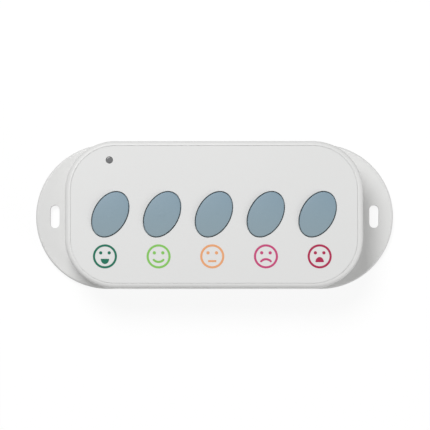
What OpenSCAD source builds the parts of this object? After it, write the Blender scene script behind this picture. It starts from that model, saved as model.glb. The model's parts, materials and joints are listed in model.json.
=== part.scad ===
// Customer feedback terminal: a slim white case with five slanted oval buttons over five
// rating faces. The back cover's ends stand out as wings, with a slot each for a screw.
// It lies on its back: +X runs to the right of the face, +Y to its top, +Z out of it.
// Sizes are in millimetres, and z = 0 is the back of the back cover.

/* [Front cover] */
// Length of the front cover
body_l = 142; // [138:1:170]
// Width of the front cover, and of the back cover behind it
body_w = 70; // [66:0.5:78]
// Radius of the front cover's four corners
body_corner_r = 23.9; // [20:0.1:28]
// Radius of the soft edge round the front
body_edge_r = 2.1; // [0.8:0.1:2.4]
// Thickness of the side walls
wall_t = 2.5; // [1.8:0.1:3.2]
// Thickness of the front wall, label included
front_wall_t = 2.4; // [1.8:0.1:3.4]
// Radius of the bosses for the cover screws
boss_r = 3.5; // [3:0.1:4.2]
// Space between a boss and the back cover's lip
boss_clear = 0.8; // [0.3:0.1:1.5]
// Radius of the posts that carry the board
post_r = 2.4; // [2:0.1:3]

/* [Back cover] */
// How far each wing stands out past the front cover
wing_reach = 15.5; // [13:0.5:24]
// Thickness of the back cover
plate_t = 3; // [2.6:0.1:4]
// Radius of the back cover's soft upper edge
plate_edge_r = 1; // [0.4:0.1:1.5]
// Width of the slot in each wing
slot_w = 4.5; // [4.2:0.1:6]
// Length of the slot in each wing
slot_l = 11; // [8:0.5:16]
// Middle of the slot, in from the wing's end
slot_inset = 9.2; // [7:0.1:10]
// Thickness of the lip that locates the front cover
lip_t = 1.5; // [1:0.1:2]
// Height of the lip
lip_h = 3; // [2:0.5:5]
// Gap between the lip and the side walls
lip_gap = 0.2; // [0.1:0.05:0.4]
// Height of the pads that the bosses stand on
pad_h = 2; // [1:0.5:4]

/* [Label] */
// Flat rim between the soft edge and each end of the label
rim_x = 0.6; // [0.1:0.1:3]
// Flat rim between the soft edge and each side of the label
rim_y = 0.1; // [0.1:0.1:3]
// Thickness of the label, let in flush
label_t = 0.4; // [0.2:0.05:0.6]
// Gap round the label's edge
label_gap = 0.1; // [0.05:0.05:0.3]
// Thickness of the printed faces
ink_t = 0.08; // [0.04:0.02:0.2]

/* [Rating faces] */
// Middle of the end faces, in from the front cover's ends
face_in = 20; // [18:0.1:22]
// How far the row of faces is off the middle
face_shift = -0.8; // [-2:0.1:2]
// Middle of the faces, up from the front cover's lower edge
face_up = 15; // [13:0.5:15.5]
// Diameter of a face
face_d = 11.4; // [9:0.1:12]
// Width of the printed lines
face_line = 1; // [0.6:0.05:1.3]

/* [Buttons] */
// Middle of the end buttons, in from the front cover's ends
button_in = 21.7; // [20:0.1:22.4]
// Long axis of an oval cap
cap_long = 22.8; // [20:0.1:24]
// Short axis of an oval cap
cap_short = 15.3; // [13:0.1:16.6]
// Lean of the long axis, up from the row of buttons
cap_lean = 60.7; // [55:0.1:90]
// Gap between a cap and its hole
cap_gap = 0.4; // [0.3:0.02:0.6]
// How far a cap stands out of the face
cap_proud = 1.3; // [0.8:0.1:3]
// Radius of the gentle crown of a cap's top
crown_r = 110; // [90:5:400]
// Thickness of a cap's side wall
cap_wall = 1.2; // [0.8:0.1:2]
// Thickness of a cap's top
cap_top_t = 1.6; // [1:0.1:2.2]
// Reach of the flange that keeps a cap in
flange_reach = 1.2; // [0.8:0.1:1.5]
// Thickness of the flange
flange_t = 1.1; // [0.8:0.1:2]
// How far a button travels
travel = 0.5; // [0.2:0.05:1]

/* [Switches] */
// Side of a switch's square housing
switch_side = 6; // [5.6:0.1:8]
// Thickness of the housing under the dome
switch_floor_t = 1.6; // [1:0.1:2.5]
// Radius of the dome's space in the housing
switch_bore_r = 2.4; // [2.3:0.05:2.6]
// Thickness of the steel lid
lid_t = 0.3; // [0.2:0.05:0.5]
// Radius of a plunger's stem
plunger_r = 1.7; // [1.2:0.05:1.8]
// Thickness of a plunger's collar
collar_t = 0.75; // [0.5:0.05:1.2]
// Thickness of the snap dome's sheet
dome_t = 0.12; // [0.08:0.02:0.16]

/* [Indicator] */
// Diameter of the lens
lens_d = 3.2; // [3:0.1:5]
// Middle of the lens, in from the front cover's left end
lens_in = 21.2; // [19:0.1:24]
// Middle of the lens, down from the front cover's upper edge
lens_down = 9.1; // [9:0.1:11]
// Height of the light-emitting diode
led_h = 2; // [1.2:0.1:2.4]

/* [Board] */
// Thickness of the board
board_t = 1.6; // [1:0.1:2]
// Space between the board and the side walls
board_gap = 3; // [2:0.1:4]
// Board screws, in from the board's long edges
post_in = 8.5; // [7:0.1:9]
// Side of the square radio module
radio_side = 16; // [12:0.5:18]
// Height of the radio's shield can
shield_h = 2.4; // [1.5:0.1:4]
// Radius of the antenna's loops
antenna_r = 2.6; // [2:0.1:3]
// Pitch of the antenna's loops
antenna_pitch = 2; // [1.8:0.1:2.4]
// Side of the controller chip
chip_side = 7; // [5:0.5:9]
// Diameter of the reservoir capacitors
can_d = 6.3; // [5:0.1:6.5]
// Height of the reservoir capacitors
can_h = 5.4; // [4:0.1:7]
// Length of the clock crystal
crystal_l = 11; // [9:0.5:13]
// Width of the clock crystal
crystal_w = 4.6; // [3.5:0.1:5]
// Pitch of the programming header's pins
header_pitch = 2.54; // [2:0.01:3]

/* [Battery] */
// Diameter of a cell
cell_d = 14.5; // [10.5:0.1:14.5]
// Length of a cell over its nub
cell_l = 50.5; // [44.5:0.1:50.5]
// Gap round a cell
cell_slack = 0.15; // [0.1:0.05:0.4]
// Thickness of the foam pad under the cells
foam_t = 0.75; // [0.5:0.05:3]
// Thickness of the holder's floor
holder_floor_t = 1.2; // [1:0.1:2.5]
// Thickness of the holder's walls
holder_wall = 1.2; // [1:0.1:2]
// Length of a pressed battery spring
spring_l = 4.6; // [4.2:0.1:6]
// Wire diameter of the battery springs
spring_wire = 0.6; // [0.4:0.05:0.65]
// Thickness of the contact plates
contact_t = 0.4; // [0.3:0.05:0.6]

/* [Screws] */
// Thread diameter of the cover screws
cover_screw_d = 3; // [2.5:0.1:3.2]
// Length of the cover screws under the head
cover_screw_l = 10; // [8:0.5:14]
// Thread diameter of the board screws
board_screw_d = 2; // [1.7:0.1:2.2]
// Length of the board screws under the head
board_screw_l = 5; // [4:0.5:6]

/* [Hidden] */
$fn = 96;

// How far a cutter runs past the face it cuts
cut = 1;
// Gap left over a part that rests under a stop
rest_gap = 0.1;
// Room left between cap and switch, and in the dome, at full travel
end_gap = 0.2;
// Radial gap of a screw or a tab in its hole
hole_gap = 0.2;
// How much of a thread's radius bites into its plastic
thread_bite = 0.25;
// Size of a screw head, as a share of the thread's diameter
head_share = 1.85;
head_h_share = 0.6;
// How deep a cover screw's head is sunk below the back
head_sink = 0.4;

// Plan sizes
button_pitch = (body_l - 2 * button_in) / 4;
face_pitch = (body_l - 2 * face_in) / 4;
face_r = face_d / 2;
inner_l = body_l - 2 * wall_t;
inner_w = body_w - 2 * wall_t;
inner_r = body_corner_r - wall_t;
corner_x = body_l / 2 - body_corner_r;
corner_y = body_w / 2 - body_corner_r;
plate_l = body_l + 2 * wing_reach;
slot_x = plate_l / 2 - slot_inset;
label_inset_x = body_edge_r + rim_x;
label_inset_y = body_edge_r + rim_y;
lip_out = wall_t + lip_gap;
boss_out = (body_corner_r - lip_out - lip_t - boss_clear - boss_r) / sqrt(2);
boss_x = corner_x + boss_out;
boss_y = corner_y + boss_out;
board_l = inner_l - 2 * board_gap;
board_w = inner_w - 2 * board_gap;
post_x = 1.5 * button_pitch;
post_y = board_w / 2 - post_in;
lens_x = lens_in - body_l / 2;
lens_y = body_w / 2 - lens_down;
face_y = face_up - body_w / 2;

// Heights, from the back cover up through the cells, the board and the switches to the caps
cell_z = plate_t + foam_t + cell_d / 2;
holder_z = cell_z + cell_d / 2 + cell_slack;
board_z = holder_z + holder_floor_t;
board_top = board_z + board_t;
dome_h = travel + end_gap + dome_t;
switch_h = switch_floor_t + dome_h + collar_t + rest_gap + lid_t;
cap_z = board_top + switch_h + travel + end_gap;
cap_h = flange_t + rest_gap + front_wall_t + cap_proud;
wall_z = cap_z + flange_t + rest_gap;
face_z = wall_z + front_wall_t;
boss_z = plate_t + pad_h;

// Corners of a switch and of the foam pad
switch_corner_r = 0.4;
pad_corner_r = 2;

// Cells and their holder
nub_h = 1.2;
nub_r = 2.75;
rib_t = 1.2;
cell_pitch = cell_d + 2 * cell_slack + rib_t;
cell_y = cell_pitch / 2;
holder_in_l = cell_l + spring_l + 2 * contact_t;
holder_in_w = cell_pitch + cell_d + 2 * cell_slack;
holder_l = holder_in_l + 2 * holder_wall;
holder_w = holder_in_w + 2 * holder_wall;
holder_grip = 3;
holder_rim_z = cell_z - holder_grip;
contact_w = 9;
contact_drop = 4.5;
tab_w = 2;
tab_out = 0.8;

// The middle of the board's free bay on either side of the holder
bay_x = (holder_l + board_l) / 4;

// What stands on the board's back, placed in the two bays
chip_y = 2;
crystal_y = 14;
can_y = -11;
can_gap = 2.6;
header_x = 11;
header_y = 3;
setup_x = bay_x + 10;
setup_y = 4;
radio_y = 3;
radio_t = 0.8;
antenna_y = 13;
antenna_wire = 0.8;
antenna_loops = 7;
antenna_clear = 0.8;

function button_x(i) = (i - 3) * button_pitch;
function face_x(i) = face_shift + (i - 3) * face_pitch;

// ---- Shared shapes ----

// A rectangle with rounded corners. A radius of half the width makes a stadium.
module rounded_rect(l, w, r) {
    square([l - 2 * r, w], center = true);
    if (w > 2 * r)
        square([l, w - 2 * r], center = true);
    for (x = [-1, 1])
        for (y = w > 2 * r ? [-1, 1] : [0])
            translate([x * (l / 2 - r), y * (w / 2 - r)])
                circle(r);
}

// A rounded slab whose upper edge is a quarter round of radius e
module soft_slab(l, w, r, h, e) {
    linear_extrude(h - e)
        rounded_rect(l, w, r);
    linear_extrude(h)
        rounded_rect(l - 2 * e, w - 2 * e, r - e);
    for (x = [-1, 1])
        for (y = w > 2 * r ? [-1, 1] : [0])
            translate([x * (l / 2 - r), y * (w / 2 - r)])
                rotate_extrude() {
                    square([r - e, h]);
                    square([r, h - e]);
                    translate([r - e, h - e])
                        circle(e);
                }
    for (y = [-1, 1])
        translate([0, y * (w / 2 - e), h - e])
            rotate([0, 90, 0])
                cylinder(r = e, h = l - 2 * r, center = true);
    if (w > 2 * r)
        for (x = [-1, 1])
            translate([x * (l / 2 - e), 0, h - e])
                rotate([90, 0, 0])
                    cylinder(r = e, h = w - 2 * r, center = true);
}

// An upright slot with round ends
module slot(w, l) {
    square([w, l - w], center = true);
    for (y = [-1, 1])
        translate([0, y * (l - w) / 2])
            circle(w / 2);
}

// An oval with its long axis at the buttons' lean
module oval(long, short) {
    rotate(cap_lean)
        scale([long / 2, short / 2])
            circle(1);
}

module at_buttons() {
    for (i = [1:5])
        translate([button_x(i), 0])
            children();
}

module at_corners(x, y) {
    for (sx = [-1, 1])
        for (sy = [-1, 1])
            translate([sx * x, sy * y])
                children();
}

function unit(v) = v / norm(v);
function way(path, i) = unit(path[min(i + 1, len(path) - 1)] - path[max(i - 1, 0)]);
function squared(n, t) = unit(n - (n * t) * t);

// Side directions along a path, each carried on from the one before without twist
function sides_along(path, side) = [
    for (i = 0, n = squared(side, way(path, 0)); i < len(path);
         i = i + 1, n = squared(n, way(path, min(i, len(path) - 1)))) n
];

// A closed skin over rings of points that run anticlockwise, seen from the last ring's side
module loft(rings) {
    k = len(rings[0]);
    last = len(rings) - 1;
    skin = [
        for (i = [0:last - 1], a = [0:k - 1]) let (p = i * k + a, q = i * k + (a + 1) % k)
            each [[p, p + k, q + k], [p, q + k, q]]
    ];
    first_end = [for (a = [0:k - 1]) a];
    last_end = [for (a = [k - 1:-1:0]) last * k + a];
    polyhedron(points = [for (ring = rings) each ring], faces = concat(skin, [first_end, last_end]));
}

// A round wire along a path, as one closed tube of six sides
module wire(path, d, side) {
    n = sides_along(path, side);
    loft([
        for (i = [0:len(path) - 1]) let (b = cross(way(path, i), n[i]))
            [for (a = [0:60:300]) path[i] + d / 2 * (cos(a) * n[i] + sin(a) * b)]
    ]);
}

// A screw standing on its head, with a cross recess
module screw(d, l) {
    head_r = d * head_share / 2;
    head_h = d * head_h_share;
    recess = head_r * 1.1;
    difference() {
        union() {
            cylinder(r = head_r, h = head_h);
            cylinder(r = d / 2, h = head_h + l);
        }
        for (a = [0, 90])
            rotate(a)
                cube([recess, d / 5, head_h * 1.2], center = true);
    }
}

// ---- Case ----

module front_cover() {
    color("whitesmoke")
        difference() {
            union() {
                difference() {
                    translate([0, 0, plate_t])
                        soft_slab(body_l, body_w, body_corner_r, face_z - plate_t, body_edge_r);
                    translate([0, 0, plate_t - cut])
                        linear_extrude(wall_z - plate_t + cut)
                            rounded_rect(inner_l, inner_w, inner_r);
                }
                translate([0, 0, boss_z])
                    linear_extrude(wall_z - boss_z + front_wall_t / 2)
                        at_corners(boss_x, boss_y)
                            circle(boss_r);
                translate([0, 0, board_top])
                    linear_extrude(wall_z - board_top + front_wall_t / 2)
                        at_corners(post_x, post_y)
                            circle(post_r);
            }
            translate([0, 0, face_z - label_t])
                linear_extrude(label_t + cut)
                    rounded_rect(body_l - 2 * label_inset_x, body_w - 2 * label_inset_y,
                                 body_corner_r - label_inset_x);
            translate([0, 0, wall_z - cut])
                linear_extrude(front_wall_t + 2 * cut) {
                    at_buttons()
                        oval(cap_long + 2 * cap_gap, cap_short + 2 * cap_gap);
                    translate([lens_x, lens_y])
                        circle(lens_d / 2 + label_gap);
                }
            translate([0, 0, boss_z - cut])
                at_corners(boss_x, boss_y)
                    cylinder(r = cover_screw_d / 2 - thread_bite, h = cut + cover_screw_l);
            translate([0, 0, board_top - cut])
                at_corners(post_x, post_y)
                    cylinder(r = board_screw_d / 2 - thread_bite, h = cut + board_screw_l - board_t / 2);
        }
}

module panel_label() {
    color("white")
        translate([0, 0, face_z - label_t])
            linear_extrude(label_t)
                difference() {
                    rounded_rect(body_l - 2 * (label_inset_x + label_gap),
                                 body_w - 2 * (label_inset_y + label_gap),
                                 body_corner_r - label_inset_x - label_gap);
                    at_buttons()
                        oval(cap_long + 2 * (cap_gap + label_gap), cap_short + 2 * (cap_gap + label_gap));
                    translate([lens_x, lens_y])
                        circle(lens_d / 2 + label_gap);
                }
}

module indicator_lens() {
    rim = 0.9;
    rim_t = 0.8;
    foot = board_top + led_h + end_gap;
    color("dimgray")
        translate([lens_x, lens_y]) {
            translate([0, 0, foot])
                cylinder(d = lens_d, h = face_z - foot);
            translate([0, 0, wall_z - rim_t])
                cylinder(r = lens_d / 2 + rim, h = rim_t);
        }
}

module back_cover() {
    head_depth = head_sink + cover_screw_d * head_h_share;
    color("gainsboro")
        difference() {
            union() {
                soft_slab(plate_l, body_w, body_w / 2, plate_t, plate_edge_r);
                linear_extrude(plate_t + lip_h)
                    difference() {
                        rounded_rect(body_l - 2 * lip_out, body_w - 2 * lip_out, body_corner_r - lip_out);
                        rounded_rect(body_l - 2 * (lip_out + lip_t), body_w - 2 * (lip_out + lip_t),
                                     body_corner_r - lip_out - lip_t);
                    }
                linear_extrude(plate_t + pad_h)
                    at_corners(boss_x, boss_y)
                        circle(boss_r);
            }
            for (x = [-1, 1])
                translate([x * slot_x, 0, -cut])
                    linear_extrude(plate_t + 2 * cut)
                        slot(slot_w, slot_l);
            translate([0, 0, -cut])
                at_corners(boss_x, boss_y) {
                    cylinder(r = cover_screw_d / 2 + hole_gap, h = plate_t + pad_h + 2 * cut);
                    cylinder(r = cover_screw_d * head_share / 2 + hole_gap, h = head_depth + cut);
                }
        }
}

module cover_screws() {
    color("silver")
        translate([0, 0, head_sink])
            at_corners(boss_x, boss_y)
                screw(cover_screw_d, cover_screw_l);
}

module board_screws() {
    color("silver")
        translate([0, 0, board_z - board_screw_d * head_h_share])
            at_corners(post_x, post_y)
                screw(board_screw_d, board_screw_l);
}

// ---- Printed rating faces: eyes and mouths are shares of a face's radius ----

// An open mouth: the lower half of an oval
module open_mouth() {
    scale(face_r * [0.35, 0.43])
        intersection() {
            circle(1);
            translate([0, -1])
                square(2, center = true);
        }
}

// A smiling line: an arc of radius r whose lowest point is at the origin
module smile(r, half_angle) {
    translate([0, r]) {
        intersection() {
            difference() {
                circle(r + face_line / 2);
                circle(r - face_line / 2);
            }
            polygon(2 * r * [[0, 0], [-sin(half_angle), -cos(half_angle)], [sin(half_angle), -cos(half_angle)]]);
        }
        for (x = [-1, 1])
            translate([x * r * sin(half_angle), -r * cos(half_angle)])
                circle(face_line / 2);
    }
}

// Ring, eyes and, as children, the mouth of face number i
module rating_face(i) {
    translate([face_x(i), face_y, face_z])
        linear_extrude(ink_t) {
            difference() {
                circle(face_r);
                circle(face_r - face_line);
            }
            for (x = [-1, 1])
                translate(face_r * [x * 0.354, 0.295])
                    circle(face_r * 0.134);
            children();
        }
}

module print_very_happy() {
    color("seagreen")
        rating_face(1)
            translate([0, -0.205 * face_r])
                open_mouth();
}

module print_happy() {
    color("yellowgreen")
        rating_face(2)
            translate([0, -0.461 * face_r])
                smile(0.551 * face_r, 46.5);
}

module print_neutral() {
    color("sandybrown")
        rating_face(3)
            translate([0, -0.396 * face_r])
                square([0.685 * face_r, 0.9 * face_line], center = true);
}

module print_unhappy() {
    color("mediumvioletred")
        rating_face(4)
            translate([0, -0.235 * face_r])
                mirror([0, 1])
                    smile(0.546 * face_r, 47);
}

module print_very_unhappy() {
    color("crimson")
        rating_face(5)
            translate([0, -0.483 * face_r])
                mirror([0, 1])
                    open_mouth();
}

// ---- Buttons ----

module button_cap(i) {
    hollow_h = cap_h - cap_top_t;
    color("lightslategray")
        translate([button_x(i), 0, cap_z]) {
            difference() {
                union() {
                    intersection() {
                        linear_extrude(cap_h)
                            oval(cap_long, cap_short);
                        rotate_extrude()
                            intersection() {
                                translate([0, cap_h - crown_r])
                                    circle(crown_r, $fn = 1440);
                                square([cap_long, cap_h]);
                            }
                    }
                    linear_extrude(flange_t)
                        oval(cap_long + 2 * flange_reach, cap_short + 2 * flange_reach);
                }
                translate([0, 0, -cut])
                    linear_extrude(hollow_h + cut)
                        oval(cap_long - 2 * cap_wall, cap_short - 2 * cap_wall);
            }
            cylinder(r = plunger_r + hole_gap, h = hollow_h + cap_top_t / 3);
        }
}

// ---- Switches: each is drawn standing on z = 0 ----

module switch_housing() {
    body_h = switch_h - lid_t;
    leg_w = 0.8;
    leg_t = 0.3;
    leg_out = 0.9;
    leg_y = switch_side / 2 - leg_w;
    difference() {
        linear_extrude(body_h)
            rounded_rect(switch_side, switch_side, switch_corner_r);
        translate([0, 0, switch_floor_t])
            cylinder(r = switch_bore_r, h = body_h);
    }
    for (x = [-1, 1])
        for (y = [-1, 1])
            translate([x * switch_side / 2, y * leg_y, leg_t / 2])
                cube([2 * leg_out, leg_w, leg_t], center = true);
}

module switch_lid() {
    translate([0, 0, switch_h - lid_t])
        linear_extrude(lid_t)
            difference() {
                rounded_rect(switch_side, switch_side, switch_corner_r);
                circle(plunger_r + hole_gap);
            }
}

module switch_plunger() {
    foot = switch_floor_t + dome_h;
    translate([0, 0, foot]) {
        cylinder(r = switch_bore_r - hole_gap, h = collar_t);
        cylinder(r = plunger_r, h = switch_h + travel + end_gap - foot);
    }
}

module switch_dome() {
    base_r = switch_bore_r - hole_gap;
    ball_r = (base_r * base_r + dome_h * dome_h) / (2 * dome_h);
    translate([0, 0, switch_floor_t])
        rotate_extrude()
            intersection() {
                translate([0, dome_h - ball_r])
                    difference() {
                        circle(ball_r);
                        circle(ball_r - dome_t);
                    }
                square([base_r, dome_h]);
            }
}

module on_board_front(i) {
    translate([button_x(i), 0, board_top])
        children();
}

// Turned over, so that a part's y runs to the bottom of the board
module on_board_back(x, y) {
    translate([x, -y, board_z])
        rotate([180, 0, 0])
            children();
}

module housing_at(i) {
    color("dimgray")
        on_board_front(i)
            switch_housing();
}

module lid_at(i) {
    color("silver")
        on_board_front(i)
            switch_lid();
}

module plunger_at(i) {
    color("black")
        on_board_front(i)
            switch_plunger();
}

module dome_at(i) {
    color("gold")
        on_board_front(i)
            switch_dome();
}

module setup_switch_housing() {
    color("dimgray")
        on_board_back(setup_x, setup_y)
            switch_housing();
}

module setup_switch_lid() {
    color("silver")
        on_board_back(setup_x, setup_y)
            switch_lid();
}

module setup_switch_plunger() {
    color("black")
        on_board_back(setup_x, setup_y)
            switch_plunger();
}

module setup_switch_dome() {
    color("gold")
        on_board_back(setup_x, setup_y)
            switch_dome();
}

// ---- Board and what is soldered to it ----

module tab_slots() {
    for (x = [-1, 1])
        for (y = [-1, 1])
            translate([x * (holder_in_l - contact_t) / 2, y * cell_y])
                square([contact_t + 2 * hole_gap, tab_w + 2 * hole_gap], center = true);
}

module main_board() {
    color("darkgreen")
        translate([0, 0, board_z])
            linear_extrude(board_t)
                difference() {
                    rounded_rect(board_l, board_w, inner_r - board_gap);
                    at_corners(boss_x, boss_y)
                        circle(boss_r + boss_clear);
                    at_corners(post_x, post_y)
                        circle(board_screw_d / 2 + hole_gap);
                    tab_slots();
                }
}

module controller_chip() {
    body_h = 1.4;
    stand = 0.1;
    leads = 8;
    lead_pitch = chip_side * 0.75 / (leads - 1);
    lead_t = 0.3;
    lead_in = 0.3;
    lead_out = 1;
    color("black")
        on_board_back(bay_x, chip_y) {
            translate([0, 0, stand])
                linear_extrude(body_h)
                    square(chip_side, center = true);
            for (a = [0:90:270], k = [0:leads - 1])
                rotate(a)
                    translate([chip_side / 2 - lead_in, (k - leads / 2 + 0.25) * lead_pitch, 0])
                        cube([lead_in + lead_out, lead_pitch / 2, lead_t]);
        }
}

module clock_crystal() {
    rim = 0.5;
    rim_t = 0.6;
    crystal_h = 3.5;
    color("silver")
        on_board_back(bay_x, crystal_y) {
            linear_extrude(rim_t)
                rounded_rect(crystal_l, crystal_w, crystal_w / 2);
            linear_extrude(crystal_h)
                rounded_rect(crystal_l - 2 * rim, crystal_w - 2 * rim, crystal_w / 2 - rim);
        }
}

module reservoir_capacitors() {
    base = can_d + 0.3;
    base_t = 1;
    color("lightgray")
        for (x = [-1, 1])
            on_board_back(bay_x + x * (base + can_gap) / 2, can_y) {
                linear_extrude(base_t)
                    square(base, center = true);
                cylinder(d = can_d, h = can_h);
            }
}

module status_led() {
    base = 3;
    base_h = led_h / 2;
    dome_r = 1.2;
    color("lightyellow")
        translate([lens_x, lens_y, board_top]) {
            linear_extrude(base_h)
                square(base, center = true);
            cylinder(r = dome_r, h = led_h);
        }
}

module programming_header() {
    pins = 4;
    pin = 0.64;
    pin_l = 8.5;
    block_h = 2.5;
    color("black")
        on_board_back(bay_x - header_x, header_y) {
            linear_extrude(block_h)
                square([header_pitch, pins * header_pitch], center = true);
            for (k = [0:pins - 1])
                translate([0, (k - (pins - 1) / 2) * header_pitch, pin_l / 2])
                    cube([pin, pin, pin_l], center = true);
        }
}

module radio_module() {
    color("seagreen")
        on_board_back(-bay_x, radio_y)
            linear_extrude(radio_t)
                square(radio_side, center = true);
}

module radio_shield() {
    rim = 1.5;
    sheet_t = 0.2;
    corner_r = 0.6;
    side = radio_side - 2 * rim;
    color("silver")
        on_board_back(-bay_x, radio_y)
            translate([0, 0, radio_t])
                difference() {
                    linear_extrude(shield_h)
                        rounded_rect(side, side, corner_r);
                    translate([0, 0, -cut])
                        linear_extrude(shield_h - sheet_t + cut)
                            rounded_rect(side - 2 * sheet_t, side - 2 * sheet_t, corner_r - sheet_t);
                }
}

// A foot straight down from the board, then loops round an axis that runs along X
module antenna_coil() {
    rings = 12;
    drop = antenna_r + antenna_wire / 2 + antenna_clear;
    start = [-bay_x - antenna_loops * antenna_pitch / 2, antenna_y, board_z - drop];
    foot = [for (k = [0:2]) start + [0, -antenna_r, drop * (1 - k / 3)]];
    loops = [
        for (k = [0:antenna_loops * rings]) let (a = -90 - 360 * k / rings)
            start + [antenna_pitch * k / rings, antenna_r * sin(a), antenna_r * cos(a)]
    ];
    color("goldenrod")
        wire(concat(foot, loops), antenna_wire, [1, 0, 0]);
}

// ---- Battery ----

module battery_holder() {
    notch_l = 22;
    color("black")
        difference() {
            union() {
                difference() {
                    translate([-holder_l / 2, -holder_w / 2, holder_rim_z])
                        cube([holder_l, holder_w, board_z - holder_rim_z]);
                    translate([-holder_in_l / 2, -holder_in_w / 2, holder_rim_z - cut])
                        cube([holder_in_l, holder_in_w, holder_z - holder_rim_z + cut]);
                    translate([-notch_l / 2, -holder_w, holder_rim_z - cut])
                        cube([notch_l, 2 * holder_w, cut + cell_d / 3]);
                }
                translate([-cell_l / 2 + spring_l, -rib_t / 2, cell_z])
                    cube([cell_l - 2 * spring_l, rib_t, board_z - cell_z]);
            }
            translate([0, 0, holder_z - cut])
                linear_extrude(holder_floor_t + 2 * cut)
                    tab_slots();
        }
}

// A cell along X with its nub at x = 0, pointing to -X
module cell() {
    rotate([0, 90, 0]) {
        cylinder(r = nub_r, h = cell_l);
        translate([0, 0, nub_h])
            cylinder(d = cell_d, h = cell_l - nub_h);
    }
}

module battery_1() {
    color("goldenrod")
        translate([-holder_in_l / 2 + contact_t, cell_y, cell_z])
            cell();
}

module battery_2() {
    color("goldenrod")
        translate([holder_in_l / 2 - contact_t, -cell_y, cell_z])
            rotate(180)
                cell();
}

// A cone spring along X from a contact plate at x = 0
module cone_spring() {
    loops = 3;
    rings = 12;
    wide_r = 4;
    narrow_r = 2.6;
    color("silver")
        wire([
            for (k = [0:loops * rings])
                let (f = k / (loops * rings), r = wide_r + (narrow_r - wide_r) * f, a = 360 * loops * f)
                    [spring_wire / 2 + (spring_l - spring_wire) * f, r * cos(a), r * sin(a)]
        ], spring_wire, [1, 0, 0]);
}

module battery_spring_1() {
    translate([holder_in_l / 2 - contact_t, cell_y, cell_z])
        rotate(180)
            cone_spring();
}

module battery_spring_2() {
    translate([-holder_in_l / 2 + contact_t, -cell_y, cell_z])
        cone_spring();
}

// A contact plate on one end wall of the holder, with a solder tab at each place in at
module contact_plate(end, y, w, at) {
    color("silver")
        translate([end * (holder_in_l - contact_t) / 2, 0, 0]) {
            translate([0, y, (holder_z + cell_z - contact_drop) / 2])
                cube([contact_t, w, holder_z - cell_z + contact_drop], center = true);
            for (tab_y = at)
                translate([-contact_t / 2, tab_y - tab_w / 2, holder_z - cut])
                    cube([contact_t, tab_w, board_top + tab_out - holder_z + cut]);
        }
}

module battery_plus_plate() {
    contact_plate(-1, cell_y, contact_w, [cell_y]);
}

module battery_minus_plate() {
    contact_plate(-1, -cell_y, contact_w, [-cell_y]);
}

module battery_link_plate() {
    contact_plate(1, 0, cell_pitch + contact_w, [-cell_y, cell_y]);
}

module battery_pad() {
    color("darkslategray")
        translate([0, 0, plate_t])
            linear_extrude(foam_t)
                rounded_rect(cell_l - 2 * spring_l, cell_pitch + cell_d / 2, pad_corner_r);
}

front_cover();
panel_label();
indicator_lens();
back_cover();
cover_screws();
board_screws();
print_very_happy();
print_happy();
print_neutral();
print_unhappy();
print_very_unhappy();
button_cap(1);  // button_cap_1
button_cap(2);  // button_cap_2
button_cap(3);  // button_cap_3
button_cap(4);  // button_cap_4
button_cap(5);  // button_cap_5
housing_at(1);  // switch_housing_1
housing_at(2);  // switch_housing_2
housing_at(3);  // switch_housing_3
housing_at(4);  // switch_housing_4
housing_at(5);  // switch_housing_5
lid_at(1);  // switch_lid_1
lid_at(2);  // switch_lid_2
lid_at(3);  // switch_lid_3
lid_at(4);  // switch_lid_4
lid_at(5);  // switch_lid_5
plunger_at(1);  // switch_plunger_1
plunger_at(2);  // switch_plunger_2
plunger_at(3);  // switch_plunger_3
plunger_at(4);  // switch_plunger_4
plunger_at(5);  // switch_plunger_5
dome_at(1);  // switch_dome_1
dome_at(2);  // switch_dome_2
dome_at(3);  // switch_dome_3
dome_at(4);  // switch_dome_4
dome_at(5);  // switch_dome_5
setup_switch_housing();
setup_switch_lid();
setup_switch_plunger();
setup_switch_dome();
main_board();
controller_chip();
clock_crystal();
reservoir_capacitors();
status_led();
programming_header();
radio_module();
radio_shield();
antenna_coil();
battery_holder();
battery_1();
battery_2();
battery_spring_1();
battery_spring_2();
battery_plus_plate();
battery_minus_plate();
battery_link_plate();
battery_pad();
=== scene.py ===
# %% [markdown]
# # Customer feedback terminal
# The object is a slim white case that lies on its back, with five slanted oval buttons over five
# printed faces. Its size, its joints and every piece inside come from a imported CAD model, the
# frame. This lesson gives that frame its looks: it remodels the pieces that a hand or an eye
# meets, with their soft edges, and gives each piece a finish made only of shader nodes.

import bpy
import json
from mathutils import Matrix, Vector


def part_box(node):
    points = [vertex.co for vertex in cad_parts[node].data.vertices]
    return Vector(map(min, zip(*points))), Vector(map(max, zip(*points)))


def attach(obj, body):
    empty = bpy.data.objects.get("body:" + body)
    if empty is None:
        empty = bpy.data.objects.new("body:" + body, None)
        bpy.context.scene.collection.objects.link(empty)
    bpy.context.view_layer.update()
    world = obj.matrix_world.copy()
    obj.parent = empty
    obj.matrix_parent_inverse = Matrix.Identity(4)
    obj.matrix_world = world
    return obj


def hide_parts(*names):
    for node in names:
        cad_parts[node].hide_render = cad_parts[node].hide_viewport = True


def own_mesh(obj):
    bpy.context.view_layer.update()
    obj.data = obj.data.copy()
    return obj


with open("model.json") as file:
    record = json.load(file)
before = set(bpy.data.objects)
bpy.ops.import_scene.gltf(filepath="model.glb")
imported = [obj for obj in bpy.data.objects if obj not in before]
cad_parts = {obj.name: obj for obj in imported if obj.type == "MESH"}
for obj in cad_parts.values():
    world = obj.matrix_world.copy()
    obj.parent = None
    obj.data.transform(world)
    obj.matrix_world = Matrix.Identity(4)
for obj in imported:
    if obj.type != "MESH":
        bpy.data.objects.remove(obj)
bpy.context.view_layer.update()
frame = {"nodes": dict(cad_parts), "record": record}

# %% [markdown]
# ## Sizes
# Blender works in metres, but a part this small is easier to read in millimetres. So every shape
# below is modelled in millimetres and scaled once, when it is finished. Whatever the frame
# already knows is measured from it, so a new piece can't drift away from its CAD node.

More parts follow.
